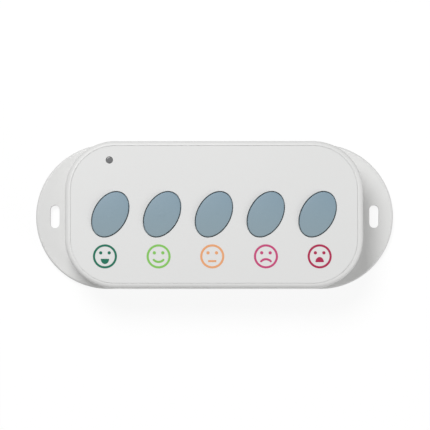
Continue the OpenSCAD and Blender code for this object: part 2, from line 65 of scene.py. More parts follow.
# %% Measure the frame
import json
import math

import bmesh
import bpy
from mathutils import Matrix, Vector

MM = 0.001


def box_mm(node):
    """Lowest and highest corner of a CAD node, in millimetres."""
    low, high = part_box(node)
    return low / MM, high / MM


def middle_mm(node):
    """The middle of a CAD node's box, in millimetres."""
    low, high = box_mm(node)
    return (low + high) / 2


def size_mm(node):
    """The three sides of a CAD node's box, in millimetres."""
    low, high = box_mm(node)
    return high - low


mounts = {m["name"]: m for m in frame["record"]["mounts"]}
front_low, front_high = box_mm("front_cover")
back_low, back_high = box_mm("back_cover")
label_low, label_high = box_mm("panel_label")
body_length = front_high.x - front_low.x
body_width = front_high.y - front_low.y
seam_z = front_low.z
face_z = front_high.z
print(f"case {body_length:.1f} x {body_width:.1f} mm, face at {face_z:.2f}, seam at {seam_z:.2f}")

# %% [markdown]
# ## Camera
# The photograph looks straight at the face from far away, so it is a long lens. The wings lie
# 26 mm deeper than the face and sit a little low and a little right of it in the picture, which
# says that the camera stands slightly towards the object's lower edge and its right end.

# %% Set up the camera
PICTURE = 430
SENSOR = 36.0
# Millimetres at the face's depth, fitted to the photograph with the two leans
camera_distance = 1344.0
picture_width = 204.4
lean_to_bottom = math.radians(2.4)
lean_to_right = math.radians(0.45)
face_centre_px = (213.95, 214.3)

px_per_mm = PICTURE / picture_width
aim = Vector((
    (PICTURE / 2 - face_centre_px[0]) / px_per_mm,
    (face_centre_px[1] - PICTURE / 2) / px_per_mm,
    face_z,
))
back_off = Vector((math.tan(lean_to_right), -math.tan(lean_to_bottom), 1)).normalized()

camera = bpy.data.objects.new("camera", bpy.data.cameras.new("camera"))
camera.data.sensor_width = SENSOR
camera.data.lens = SENSOR * camera_distance / picture_width
across = Vector((0, 1, 0)).cross(back_off).normalized()
upward = back_off.cross(across)
turn = Matrix((across, upward, back_off)).transposed().to_4x4()
camera.matrix_world = Matrix.Translation((aim + back_off * camera_distance) * MM) @ turn
bpy.context.scene.collection.objects.link(camera)
bpy.context.scene.camera = camera
print(f"camera: {camera.data.lens:.0f} mm lens, {camera_distance / 1000:.2f} m above the face")


# %% [markdown]
# ## Nodes
# The world, the floor and every finish are built of shader nodes. A node's input takes a value or
# another node's socket, so one helper makes the node, sets it and links it. The next three are
# the steps that come back most: arithmetic on numbers, on vectors, and a change of range.

# %% Helpers for nodes
def add_node(tree, kind, inputs=None, **settings):
    """A new shader node. Each input named gets a value, or a link from a socket."""
    made = tree.nodes.new(kind)
    for key, value in settings.items():
        setattr(made, key, value)
    for socket, value in (inputs or {}).items():
        if isinstance(value, bpy.types.NodeSocket):
            tree.links.new(value, made.inputs[socket])
        else:
            made.inputs[socket].default_value = value
    return made


def number_step(tree, operation, first, second, **settings):
    """One step of arithmetic on sockets or numbers."""
    return add_node(tree, "ShaderNodeMath", {0: first, 1: second},
                    operation=operation, **settings).outputs[0]


def vector_step(tree, operation, first, second=(0, 0, 0), output="Vector"):
    """One step of vector arithmetic on sockets or vectors."""
    return add_node(tree, "ShaderNodeVectorMath", {0: first, 1: second},
                    operation=operation).outputs[output]


def map_mask(tree, mask, low, high, start=0.0, end=1.0, **settings):
    """Turns a socket's values from start to end into values from low to high."""
    return add_node(tree, "ShaderNodeMapRange", {
        "Value": mask, "From Min": start, "From Max": end, "To Min": low, "To Max": high},
        **settings).outputs[0]


print("node helpers:", [step.__name__ for step in (add_node, number_step, vector_step, map_mask)])

# %% [markdown]
# ## Light
# The picture was taken under a wide soft light from the upper left, with a low fill from the
# other side: the lower right wing is dim next to the case and pale at its end. Two round area
# lamps and an even world do the same, and their powers were fitted to the tones of the photo's
# white plastic. The world is plain white for the camera and for reflections, and gives a milder
# light to everything else, which keeps the background white without lighting the case.

# %% Light the scene
WORLD_FILL = 0.35
LAMP_DISTANCE = 1.2
LAMPS = {
    # name: (watts, bearing from +X, height above the floor, diameter in metres)
    "key_light": (8.5, 117, 60, 0.55),
    "low_fill": (3.7, 328, 20, 0.50),
}
WHITE = (1, 1, 1, 1)


def seen_directly(tree):
    """A socket that is 1 for camera, mirror and glass rays, and 0 for rays that light things."""
    ray = add_node(tree, "ShaderNodeLightPath").outputs
    seen = number_step(tree, "ADD", ray["Is Camera Ray"], ray["Is Glossy Ray"])
    return number_step(tree, "ADD", seen, ray["Is Transmission Ray"], use_clamp=True)


world = bpy.data.worlds.new("studio")
world.use_nodes = True
bpy.context.scene.world = world
sky = world.node_tree
sky.nodes.clear()
lighting = add_node(sky, "ShaderNodeBackground", {"Color": WHITE, "Strength": WORLD_FILL})
backdrop = add_node(sky, "ShaderNodeBackground", {"Color": WHITE, "Strength": 1.0})
choice = add_node(sky, "ShaderNodeMixShader", {
    "Fac": seen_directly(sky), 1: lighting.outputs[0], 2: backdrop.outputs[0]})
add_node(sky, "ShaderNodeOutputWorld", {"Surface": choice.outputs[0]})

for name, (watts, bearing, height, diameter) in LAMPS.items():
    lamp = bpy.data.objects.new(name, bpy.data.lights.new(name, "AREA"))
    lamp.data.shape = "DISK"
    lamp.data.size = diameter
    lamp.data.energy = watts
    compass, rise = math.radians(bearing), math.radians(height)
    to_lamp = Vector((
        math.cos(compass) * math.cos(rise), math.sin(compass) * math.cos(rise), math.sin(rise)))
    lamp.location = to_lamp * LAMP_DISTANCE
    lamp.rotation_mode = "QUATERNION"
    lamp.rotation_quaternion = to_lamp.to_track_quat("Z", "Y")
    bpy.context.scene.collection.objects.link(lamp)
bpy.context.scene.view_settings.view_transform = "Standard"
print("light: world", WORLD_FILL, "and", {name: values[0] for name, values in LAMPS.items()}, "W")

# %% [markdown]
# ## Floor
# The floor is one plain plane just under the case. Part of its white is light of its own, for
# the camera alone, and the rest is a pale matt surface that still darkens where the case shades
# it. Away from the case it turns wholly into white, so no edge or horizon shows. From below it
# is clear, and it throws no light back, so that the back of the case can be looked at too.

# %% Lay the floor
FLOOR_SIDE = 4000.0
FLOOR_DROP = 0.3
FLOOR_CELLS = 31
# Between these two distances, in metres, the shaded floor turns into plain white. Each pair under
# them says how much of the white is the floor's own light, or is matt, at the one and the other.
shadow_reach = (0.11, 0.30)
own_white = (0.86, 1.0)
matt_white = (0.16, 0.0)

floor_mesh = bmesh.new()
bmesh.ops.create_grid(
    floor_mesh, x_segments=FLOOR_CELLS, y_segments=FLOOR_CELLS, size=FLOOR_SIDE / 2)
bmesh.ops.translate(floor_mesh, vec=(0, 0, -FLOOR_DROP), verts=floor_mesh.verts)
bmesh.ops.scale(floor_mesh, vec=(MM, MM, MM), verts=floor_mesh.verts)
floor = bpy.data.objects.new("floor", bpy.data.meshes.new("floor"))
floor_mesh.to_mesh(floor.data)
floor_mesh.free()
floor.visible_diffuse = False
floor.visible_shadow = False
bpy.context.scene.collection.objects.link(floor)

surface = bpy.data.materials.new("pale_floor")
surface.use_nodes = True
tree = surface.node_tree
tree.nodes.clear()
place = add_node(tree, "ShaderNodeTexCoord").outputs["Object"]
far = vector_step(tree, "LENGTH", place, output="Value")
own, matt = (map_mask(tree, far, *ends, *shadow_reach, interpolation_type="SMOOTHSTEP")
             for ends in (own_white, matt_white))
glow = add_node(tree, "ShaderNodeEmission", {"Color": WHITE, "Strength": own})
paint = add_node(tree, "ShaderNodeBsdfDiffuse", {"Color": matt})
lit = add_node(tree, "ShaderNodeAddShader", {0: glow.outputs[0], 1: paint.outputs[0]})
clear = add_node(tree, "ShaderNodeBsdfTransparent")
from_below = add_node(tree, "ShaderNodeNewGeometry").outputs["Backfacing"]
either = add_node(tree, "ShaderNodeMixShader", {
    "Fac": from_below, 1: lit.outputs[0], 2: clear.outputs[0]})
add_node(tree, "ShaderNodeOutputMaterial", {"Surface": either.outputs[0]})
floor.data.materials.append(surface)
print("floor:", FLOOR_SIDE / 1000, "m square")


# %% [markdown]
# ## Shared effects
# A moulded surface isn't smooth: the mould is spark-eroded, which leaves a fine even grain, and
# the plastic's shade drifts a little where it flowed. Both are needed by nearly every plastic
# piece, so they are one node group, with the size of the grain as its input.

# %% Group: moulded grain
def start_group(name, numbers=None):
    """A shader node group that takes a vector and perhaps numbers. Returns it and those sockets."""
    group = bpy.data.node_groups.new(name, "ShaderNodeTree")
    group.interface.new_socket("Vector", in_out="INPUT", socket_type="NodeSocketVector")
    for socket, value in (numbers or {}).items():
        made = group.interface.new_socket(socket, in_out="INPUT", socket_type="NodeSocketFloat")
        made.default_value = value
    return group, add_node(group, "NodeGroupInput").outputs


def end_group(group, outputs):
    """Gives a group its output sockets, each a number, and links them."""
    for socket in outputs:
        group.interface.new_socket(socket, in_out="OUTPUT", socket_type="NodeSocketFloat")
    add_node(group, "NodeGroupOutput", outputs)
    print(f"group {group.name}:", list(outputs))


moulded_grain, given = start_group("moulded_grain", {"Grains per metre": 3000.0})
grained = {"Vector": given["Vector"], "Scale": given["Grains per metre"]}
pits = add_node(moulded_grain, "ShaderNodeTexVoronoi", {**grained, "Smoothness": 0.6},
                feature="SMOOTH_F1")
swell = add_node(moulded_grain, "ShaderNodeTexNoise", {**grained, "Detail": 3.0, "Roughness": 0.6})
drift = add_node(moulded_grain, "ShaderNodeTexNoise", {
    "Vector": given["Vector"], "Scale": 26.0, "Detail": 4.0, "Roughness": 0.5})
height = number_step(moulded_grain, "ADD", pits.outputs["Distance"], swell.outputs[0])
end_group(moulded_grain, {"Height": height, "Tone": drift.outputs[0]})

# %% [markdown]
# Hands leave broad smudges that make a surface a little glossier. The group gives them as a mask
# from 0 to 1, and each material decides how far they change its roughness.

# %% Group: handling marks
handling_marks, given = start_group("handling_marks")
patch = add_node(handling_marks, "ShaderNodeTexNoise", {
    "Vector": given["Vector"], "Scale": 38.0, "Detail": 5.0, "Distortion": 0.6})
end_group(handling_marks, {"Smudge": map_mask(handling_marks, patch.outputs[0], 0, 1, 0.48, 0.72)})

# %% [markdown]
# Rolled and drawn metal has lines along the way it was worked. The group stretches a noise along
# X, and coordinates that are turned first run the lines another way.

# %% Group: rolled lines
rolled_lines, given = start_group("rolled_lines")
along = add_node(rolled_lines, "ShaderNodeMapping", {
    "Vector": given["Vector"], "Scale": (120, 5200, 5200)})
lines = add_node(rolled_lines, "ShaderNodeTexNoise", {
    "Vector": along.outputs[0], "Scale": 1.0, "Detail": 4.0, "Roughness": 0.65})
cloud = add_node(rolled_lines, "ShaderNodeTexNoise", {
    "Vector": given["Vector"], "Scale": 260.0, "Detail": 3.0})
end_group(rolled_lines, {"Height": lines.outputs[0], "Tone": cloud.outputs[0]})

# %% [markdown]
# ## Finishes
# Each material starts the same way: a Principled shader whose constant values sit on its own
# sockets, and the object's own coordinates, so that a pattern keeps its real scale on a large
# piece and a small one alike. Masks are mixed into its colour, its roughness and its bump, and the
# last few helpers make a mask from where a point lies.

# %% Helpers for materials
EDGE_BLUR = 0.02
finishes = {}


def start_finish(slot, roughness, **values):
    """Adds a material to the finishes. Returns its node tree, its shader and its coordinates."""
    finish = finishes[slot] = bpy.data.materials.new(slot)
    finish.use_nodes = True
    tree = finish.node_tree
    shader = tree.nodes["Principled BSDF"]
    for socket, value in {"Roughness": roughness, **values}.items():
        shader.inputs[socket.replace("_", " ")].default_value = value
    return tree, shader, add_node(tree, "ShaderNodeTexCoord").outputs["Object"]


def use_group(tree, group, place, **values):
    """The outputs of a node group on the given coordinates."""
    inputs = {socket.replace("_", " "): value for socket, value in values.items()}
    return add_node(tree, "ShaderNodeGroup", {"Vector": place, **inputs}, node_tree=group).outputs


def mix_colours(tree, mask, first, second):
    """A colour socket that goes from the first colour to the second as the mask rises."""
    made = add_node(tree, "ShaderNodeMix", {"Factor": mask}, data_type="RGBA")
    for name, colour in (("A", first), ("B", second)):
        end = [s for s in made.inputs if s.name == name and s.type == "RGBA"][0]
        if isinstance(colour, bpy.types.NodeSocket):
            tree.links.new(colour, end)
        else:
            end.default_value = (*colour, 1)
    return [s for s in made.outputs if s.type == "RGBA"][0]


def shades(tree, mask, colour, start, end):
    """A colour socket that goes from one shade of a colour to another as the mask rises."""
    return mix_colours(tree, mask, *(
        tuple(min(channel * factor, 1.0) for channel in colour) for factor in (start, end)))


def feed(tree, shader, colour, gloss=None, height=None, depth=0.0):
    """Links a shader's colour, its roughness and its bump, whose full height is depth in metres."""
    tree.links.new(colour, shader.inputs["Base Color"])
    if gloss is not None:
        tree.links.new(gloss, shader.inputs["Roughness"])
    if height is not None:
        bump = add_node(tree, "ShaderNodeBump", {
            "Strength": 1.0, "Distance": depth, "Height": height})
        tree.links.new(bump.outputs["Normal"], shader.inputs["Normal"])


def turned(tree, place, degrees):
    """Coordinates turned about Z."""
    return add_node(tree, "ShaderNodeMapping", {
        "Vector": place, "Rotation": (0, 0, math.radians(degrees))}).outputs[0]


def axes_of(tree, place):
    """The three coordinates of a place."""
    return add_node(tree, "ShaderNodeSeparateXYZ", {0: place}).outputs


def beyond(tree, value, edge, sign=1):
    """A mask that is 1 where a value passes an edge, upwards or, with sign -1, downwards."""
    blur = sign * EDGE_BLUR
    return map_mask(tree, value, 0.0, 1.0, (edge - blur) * MM, (edge + blur) * MM)


print("masks are blurred over", 2 * EDGE_BLUR, "mm")


# %% [markdown]
# ### Case and label
# The two covers are the same white plastic with a satin mould texture, and the label is a matt
# film with a much finer one. They could be flat colours at the photograph's distance, but close
# up it is the grain that says what they are made of. One function makes every moulded plastic.

# %% Function: moulded plastic
def moulded(slot, colour, roughness, grains, depth, drift=0.03, polish=0.08):
    """A moulded plastic: grain in its bump, a slight drift of tone, and smudges in its gloss."""
    tree, shader, place = start_finish(slot, roughness)
    grain = use_group(tree, moulded_grain, place, Grains_per_metre=grains)
    smudge = use_group(tree, handling_marks, place)["Smudge"]
    feed(tree, shader, shades(tree, grain["Tone"], colour, 1 - drift, 1 + drift),
         map_mask(tree, smudge, roughness, roughness - polish), grain["Height"], depth)


moulded("case_front", (0.765, 0.765, 0.757), 0.46, 2600.0, 0.000012, drift=0.012)
moulded("case_back", (0.755, 0.755, 0.748), 0.50, 2200.0, 0.000016, drift=0.014)
moulded("label_film", (0.762, 0.763, 0.757), 0.52, 5200.0, 0.000004, drift=0.008)
print("outer plastics:", sorted(finishes))

# %% [markdown]
# The caps are a flat grey-blue. A ramp over the row's height paints shade into them: a little bluer
# and deeper towards their upper ends, under the same grain and smudges.

# %% Cap plastic
CAP_HALF = 0.011
CAP_ROUGHNESS = 0.42
LOWER_TONES = ((0.256, 0.342, 0.386), (0.277, 0.366, 0.413))
UPPER_TONES = ((0.214, 0.312, 0.382), (0.233, 0.334, 0.408))

tree, shader, place = start_finish("button_plastic", CAP_ROUGHNESS, Specular_IOR_Level=0.38)
grain = use_group(tree, moulded_grain, place, Grains_per_metre=3400.0)
smudge = use_group(tree, handling_marks, place)["Smudge"]
# Painted shade: the caps' upper ends are coloured darker and bluer than their lower ends.
upper_shade = map_mask(tree, axes_of(tree, place)["Y"], 0.0, 1.0, -CAP_HALF, CAP_HALF)
tones = [mix_colours(tree, grain["Tone"], *pair) for pair in (LOWER_TONES, UPPER_TONES)]
feed(tree, shader, mix_colours(tree, upper_shade, *tones),
     map_mask(tree, smudge, CAP_ROUGHNESS, 0.36), grain["Height"], 0.000008)
print("caps: from", LOWER_TONES[0], "to", UPPER_TONES[0])

# %% [markdown]
# ### Printed inks
# The faces are screen printed: a thin even layer with a faint mesh pattern and slightly uneven
# cover. One function makes all five, because only the colour differs.

# %% Inks
INKS = {
    "ink_very_happy": (0.004, 0.150, 0.088),
    "ink_happy": (0.238, 0.570, 0.110),
    "ink_neutral": (0.840, 0.385, 0.175),
    "ink_unhappy": (0.575, 0.067, 0.197),
    "ink_very_unhappy": (0.426, 0.017, 0.077),
}


def screen_ink(slot, colour):
    """A screen-printed ink with a faint mesh and a few thin spots."""
    tree, shader, place = start_finish(slot, 0.48, Specular_IOR_Level=0.25)
    mesh = add_node(tree, "ShaderNodeTexWave", {
        "Vector": place, "Scale": 1500.0, "Distortion": 0.4, "Detail": 1.0})
    grain = use_group(tree, moulded_grain, place, Grains_per_metre=4200.0)
    cover = map_mask(tree, grain["Height"], 0.0, 1.0, 0.2, 1.4)
    feed(tree, shader, shades(tree, cover, colour, 1.10, 0.94),
         height=mesh.outputs[0], depth=0.000003)


for slot, colour in INKS.items():
    screen_ink(slot, colour)
print("inks:", list(INKS))

# %% [markdown]
# ### Window
# The small round window is a smoked plastic rod, polished at its end. It is nearly opaque, so it
# is a dark grey gloss with handling marks in it, not a clear glass.

# %% Smoked window
tree, shader, place = start_finish("lens", 0.16, IOR=1.49)
smoke = use_group(tree, moulded_grain, place, Grains_per_metre=900.0)["Tone"]
smudge = use_group(tree, handling_marks, place)["Smudge"]
feed(tree, shader, mix_colours(tree, smoke, (0.135, 0.137, 0.142), (0.165, 0.166, 0.170)),
     map_mask(tree, smudge, 0.14, 0.30))
print("window: refractive index", round(shader.inputs["IOR"].default_value, 2))


# %% [markdown]
# ### Metals
# Screws, lids, cans, plates and springs are all plated or rolled metal. What tells them apart is
# the colour, the gloss, the depth of the lines and which way they run: they share a function.

# %% Metals
def rolled_metal(slot, colour, roughness, depth, turn=0.0):
    """A metal with rolled lines, turned about Z, and a cloudy plating."""
    tree, shader, place = start_finish(slot, roughness, Metallic=1.0)
    lines = use_group(tree, rolled_lines, turned(tree, place, turn))
    feed(tree, shader, shades(tree, lines["Tone"], colour, 0.90, 1.06),
         map_mask(tree, lines["Tone"], roughness - 0.05, roughness + 0.10), lines["Height"], depth)


rolled_metal("screw_steel", (0.62, 0.63, 0.65), 0.32, 0.000004, turn=20)
rolled_metal("switch_steel", (0.66, 0.66, 0.67), 0.30, 0.000004)
rolled_metal("dome_steel", (0.70, 0.62, 0.48), 0.22, 0.000002)
rolled_metal("can_steel", (0.68, 0.68, 0.69), 0.26, 0.000003, turn=90)
rolled_metal("capacitor_can", (0.76, 0.77, 0.78), 0.24, 0.000002)
rolled_metal("antenna_wire", (0.80, 0.52, 0.22), 0.28, 0.000003)
rolled_metal("contact_steel", (0.72, 0.71, 0.69), 0.27, 0.000004, turn=90)
print("finishes so far:", len(finishes))

# %% [markdown]
# ### Plastics inside
# The dark parts are moulded finer and are hardly handled, and the foam has by far the deepest
# grain. The LED's resin and the cells' film are glossy, and take the same function.

# %% Inner plastics
moulded("switch_plastic", (0.022, 0.022, 0.023), 0.50, 5200.0, 0.000005, drift=0.10, polish=0.05)
moulded("plunger_plastic", (0.016, 0.016, 0.017), 0.38, 6000.0, 0.000003, drift=0.10, polish=0.05)
moulded("chip_plastic", (0.020, 0.020, 0.021), 0.58, 9000.0, 0.000006, drift=0.12, polish=0.04)
moulded("holder_plastic", (0.019, 0.019, 0.020), 0.54, 3000.0, 0.000010, drift=0.10, polish=0.06)
moulded("foam", (0.045, 0.046, 0.050), 0.92, 1500.0, 0.000120, drift=0.20, polish=0.0)
moulded("led_resin", (0.780, 0.770, 0.600), 0.18, 1800.0, 0.000001, drift=0.03, polish=0.05)
moulded("cell_wrap", (0.620, 0.330, 0.070), 0.26, 1500.0, 0.000002, drift=0.04, polish=0.08)
print("finishes so far:", len(finishes))


# %% [markdown]
# ### Circuit boards
# A board is glass laminate under a glossy coloured mask, and its copper tracks show as slightly
# raised, lighter lines. The mortar of a brick texture with long bricks makes good tracks: parallel
# runs with a few links between them. A slow noise sends them along X in some areas and along Y in
# others, and leaves the rest bare.

# %% Boards
def solder_mask(slot, colour, track_colour, pitch):
    """A board's mask with tracks under it."""
    tree, shader, place = start_finish(slot, 0.30)
    area = add_node(tree, "ShaderNodeTexNoise", {"Vector": place, "Scale": 90.0, "Detail": 1.0})
    runs = []
    for turn, start, end in ((0, 0.53, 0.54), (90, 0.47, 0.46)):
        tracks = add_node(tree, "ShaderNodeTexBrick", {
            "Vector": turned(tree, place, turn), "Scale": 1.0, "Brick Width": pitch * 17,
            "Row Height": pitch, "Mortar Size": pitch * 0.14, "Mortar Smooth": 0.15})
        routed = map_mask(tree, area.outputs[0], 0.0, 1.0, start, end)
        runs.append(number_step(tree, "MULTIPLY", tracks.outputs["Fac"], routed))
    shown = number_step(tree, "ADD", *runs)
    weave = use_group(tree, moulded_grain, place, Grains_per_metre=1800.0)["Tone"]
    toned = shades(tree, weave, colour, 0.85, 1.15)
    feed(tree, shader, mix_colours(tree, shown, toned, track_colour), height=shown, depth=0.00003)


solder_mask("board", (0.010, 0.090, 0.040), (0.030, 0.190, 0.085), 0.00127)
solder_mask("radio_board", (0.010, 0.045, 0.140), (0.030, 0.110, 0.270), 0.0009)
print("finishes:", len(finishes))


# %% [markdown]
# ### Two finishes on one piece
# Some pieces are one piece in the frame but two materials in the hand: a cell has a sleeve over
# bare steel, a capacitor a can on a black base, a chip tinned leads and a header gilt pins. They
# could be cut into more objects. A mask made from the object's coordinates is simpler, because
# each second material has its own place, and a place is a distance or a height.

# %% Function: a second finish
def overlay(slot, make_mask, colour, roughness, metallic):
    """Lays a second material over a finish, where a mask is 1."""
    tree = finishes[slot].node_tree
    shader = tree.nodes["Principled BSDF"]
    place = [node for node in tree.nodes if node.type == "TEX_COORD"][0].outputs["Object"]
    mask = make_mask(tree, place)
    base = shader.inputs["Base Color"]
    tree.links.new(mix_colours(tree, mask, base.links[0].from_socket, colour), base)
    for name, value in (("Roughness", roughness), ("Metallic", metallic)):
        end = shader.inputs[name]
        under = end.links[0].from_socket if end.is_linked else end.default_value
        mixed = add_node(tree, "ShaderNodeMix", {"Factor": mask, "A": under, "B": value})
        tree.links.new(mixed.outputs["Result"], end)
    print(f"{slot}: {make_mask.__name__} laid over it")

# %% [markdown]
# The two cells lie side by side, so the sign of Y is taken off first, and both share one axis.
# Inside the sleeve's opening the steel is bare. The plain pale band round the plus end helps to
# put a cell in the right way round.

# %% Cells: bare ends and a band
NUB_HEIGHT = 1.2
SLEEVE_OPENING = 5.8
BAND = 9.0
cell_axis = middle_mm("battery_1")
plus_end = box_mm("battery_1")[0].x


def bare_end(tree, place):
    """1 on the steel that the sleeve leaves bare."""
    off = vector_step(tree, "ABSOLUTE", place)
    off = vector_step(tree, "SUBTRACT", off, (0, cell_axis.y * MM, cell_axis.z * MM))
    off = vector_step(tree, "MULTIPLY", off, (0, 1, 1))
    return beyond(tree, vector_step(tree, "LENGTH", off, output="Value"), SLEEVE_OPENING, -1)


def plus_band(tree, place):
    """1 on the sleeve's band, at the plus end of either cell."""
    axes = axes_of(tree, place)
    side = number_step(tree, "SIGN", axes["Y"], 0)
    along = number_step(tree, "MULTIPLY", side, axes["X"])
    return beyond(tree, along, plus_end + NUB_HEIGHT + BAND, -1)


overlay("cell_wrap", plus_band, (0.66, 0.63, 0.55), 0.30, 0.0)
overlay("cell_wrap", bare_end, (0.70, 0.70, 0.69), 0.24, 1.0)

# %% [markdown]
# The parts on the board hang from its back, so their bases are told by height. The capacitors'
# polarity is a dark print over a side of their ends. The chip's leads lie in a square frame round
# its body: the larger of the two distances from its middle tells where that is. The header's pins
# start under its block, and the status LED's clear resin sits on a white base.

# %% Board parts: bases, prints, leads and pins
CAPACITOR_BASE = 1.0
PRINT_FROM = 2.6 / 3.6
LEAD_OUT = 1.0
HEADER_BLOCK = 2.5
board_back = box_mm("main_board")[0].z
capacitor_low, capacitor_high = box_mm("reservoir_capacitors")
chip_middle = middle_mm("controller_chip")
chip_half = size_mm("controller_chip").x / 2 - LEAD_OUT


def capacitor_base(tree, place):
    """1 on the black base under each can."""
    return beyond(tree, axes_of(tree, place)["Z"], board_back - CAPACITOR_BASE - EDGE_BLUR)


def polarity_print(tree, place):
    """1 on one side of the cans' ends."""
    axes = axes_of(tree, place)
    at_end = beyond(tree, axes["Z"], capacitor_low.z + 0.1, -1)
    line = capacitor_low.y + PRINT_FROM * (capacitor_high.y - capacitor_low.y)
    return number_step(tree, "MULTIPLY", at_end, beyond(tree, axes["Y"], line))


def tinned_lead(tree, place):
    """1 in the square frame of leads round the chip's body."""
    off = vector_step(tree, "SUBTRACT", place, tuple(chip_middle * MM))
    axes = axes_of(tree, vector_step(tree, "ABSOLUTE", off))
    reach = number_step(tree, "MAXIMUM", axes["X"], axes["Y"])
    inside = beyond(tree, reach, chip_half + LEAD_OUT + 1, -1)
    return number_step(tree, "MULTIPLY", inside, beyond(tree, reach, chip_half + EDGE_BLUR))


def gilt_pin(tree, place):
    """1 below the header's block."""
    return beyond(tree, axes_of(tree, place)["Z"], board_back - HEADER_BLOCK - EDGE_BLUR, -1)


def white_base(tree, place):
    """1 on the lower half of the status LED."""
    return beyond(tree, axes_of(tree, place)["Z"], middle_mm("status_led").z + EDGE_BLUR, -1)


overlay("capacitor_can", capacitor_base, (0.020, 0.020, 0.021), 0.50, 0.0)
overlay("capacitor_can", polarity_print, (0.025, 0.025, 0.028), 0.40, 0.0)
overlay("chip_plastic", tinned_lead, (0.67, 0.67, 0.66), 0.30, 1.0)
overlay("chip_plastic", gilt_pin, (0.83, 0.60, 0.27), 0.25, 1.0)
overlay("led_resin", white_base, (0.72, 0.72, 0.69), 0.40, 0.0)

# %% [markdown]
# Every CAD node starts with the finish of its own material slot. The pieces that are remodelled
# below take theirs from the same list.

# %% Dress the frame
for part in frame["record"]["subparts"]:
    node = frame["nodes"][part["node"]]
    for held in node.material_slots:
        held.material = finishes[part["material_slot"]]


# %% [markdown]
# ## Shapes
# Nearly every piece here is a flat outline that is pulled up and has its edges rounded. So the
# shape helpers are few. The first is the pull: a face is extruded, and the new one is moved along
# Z or drawn in. A slab with round corners and a round or oval post both come from it. A rounded
# corner is a bevelled vertex.

# %% Helpers for slabs and posts
def extruded(bm, faces):
    """Extrudes faces in place. Returns the new faces and their vertices, to be moved."""
    edges = {edge for face in faces for edge in face.edges}
    made = bmesh.ops.extrude_face_region(bm, geom=[*faces, *edges])["geom"]
    return ([part for part in made if isinstance(part, bmesh.types.BMFace)],
            [part for part in made if isinstance(part, bmesh.types.BMVert)])


def pull(bm, faces, distance):
    """Pulls flat faces along Z, with new walls behind them. Returns the moved faces."""
    faces, moved = extruded(bm, faces)
    bmesh.ops.translate(bm, vec=(0, 0, distance), verts=moved)
    return faces


def narrow(bm, faces, factor_x, factor_y):
    """Draws flat faces in or out, with a ring of new ones round them. Returns the moved faces."""
    faces, moved = extruded(bm, faces)
    bmesh.ops.scale(bm, vec=(factor_x, factor_y, 1), verts=moved)
    return faces


def rounded_slab(length, width, radius, low, high, arc=24):
    """A slab with round corners, between two heights."""
    bm = bmesh.new()
    corners = bmesh.ops.create_grid(bm, x_segments=1, y_segments=1, size=0.5)["verts"]
    bmesh.ops.scale(bm, vec=(length, width, 1), verts=corners)
    bmesh.ops.translate(bm, vec=(0, 0, low), verts=corners)
    bmesh.ops.bevel(bm, geom=corners, offset=radius, segments=arc, profile=0.5,
                    affect="VERTICES", material=-1)
    bmesh.ops.remove_doubles(bm, verts=bm.verts, dist=0.001)
    pull(bm, bm.faces[:], high - low)
    bmesh.ops.recalc_face_normals(bm, faces=bm.faces)
    return bm


def oval_post(bm, centre, long, short, low, high, lean=0.0, sides=96):
    """Adds a round or oval post to a bmesh, with its long side at an angle to X."""
    made = bmesh.ops.create_circle(bm, cap_ends=True, segments=sides, radius=0.5)["verts"]
    bmesh.ops.scale(bm, vec=(long, short, 1), verts=made)
    bmesh.ops.rotate(bm, cent=(0, 0, 0), matrix=Matrix.Rotation(lean, 3, "Z"), verts=made)
    bmesh.ops.translate(bm, vec=(centre[0], centre[1], low), verts=made)
    pull(bm, list({face for vert in made for face in vert.link_faces}), high - low)
    bmesh.ops.recalc_face_normals(bm, faces=bm.faces)
    return bm


def round_posts(bm, places, radius, low, high, sides):
    """Adds an upright round post to a bmesh at each place."""
    for place in places:
        oval_post(bm, place, 2 * radius, 2 * radius, low, high, sides=sides)
    return bm


sample = rounded_slab(length=10, width=6, radius=2, low=0, high=1)
print("a rounded slab has", len(sample.faces), "faces")


# %% [markdown]
# A soft edge is a bevelled edge, with the same operator as the corners. The edges to round are
# found by what they are, not by number: they lie at one height, and two faces meet there at a
# sharp angle.

# %% Helpers for rims
def sharp_edges(bm, z, least=50):
    """The edges at one height where two faces meet at a sharp angle."""
    return [
        edge for edge in bm.edges
        if len(edge.link_faces) == 2
        and all(abs(vert.co.z - z) < 0.001 for vert in edge.verts)
        and edge.calc_face_angle() > math.radians(least)
    ]


def soften(bm, edges, radius, segments):
    """Rounds edges to a radius."""
    bmesh.ops.bevel(bm, geom=edges, offset=radius, segments=segments, profile=0.5,
                    affect="EDGES", material=-1)


def soften_rim(bm, z, radius, segments):
    """Rounds the sharp edges at one height."""
    soften(bm, sharp_edges(bm, z), radius, segments)


soften_rim(sample, 1, 0.2, 3)
print("with a soft rim it has", len(sample.faces))


# %% [markdown]
# A piece is made round the origin and then put in its place. Several can be joined as they are,
# each still a closed solid, or added to and cut from one another by the exact boolean.

# %% Helpers to place, join and cut
def put(bm, x=0, y=0, z=0, angle=0, axis="Z"):
    """Turns a whole piece about an axis through the origin, and then moves it."""
    bmesh.ops.rotate(bm, cent=(0, 0, 0), matrix=Matrix.Rotation(angle, 3, axis), verts=bm.verts)
    bmesh.ops.translate(bm, vec=(x, y, z), verts=bm.verts)
    return bm


def joined(parts):
    """Several bmeshes as one, each still its own closed solid."""
    whole = bmesh.new()
    for part in parts:
        mesh = bpy.data.meshes.new("part")
        part.to_mesh(mesh)
        part.free()
        whole.from_mesh(mesh)
        bpy.data.meshes.remove(mesh)
    return whole


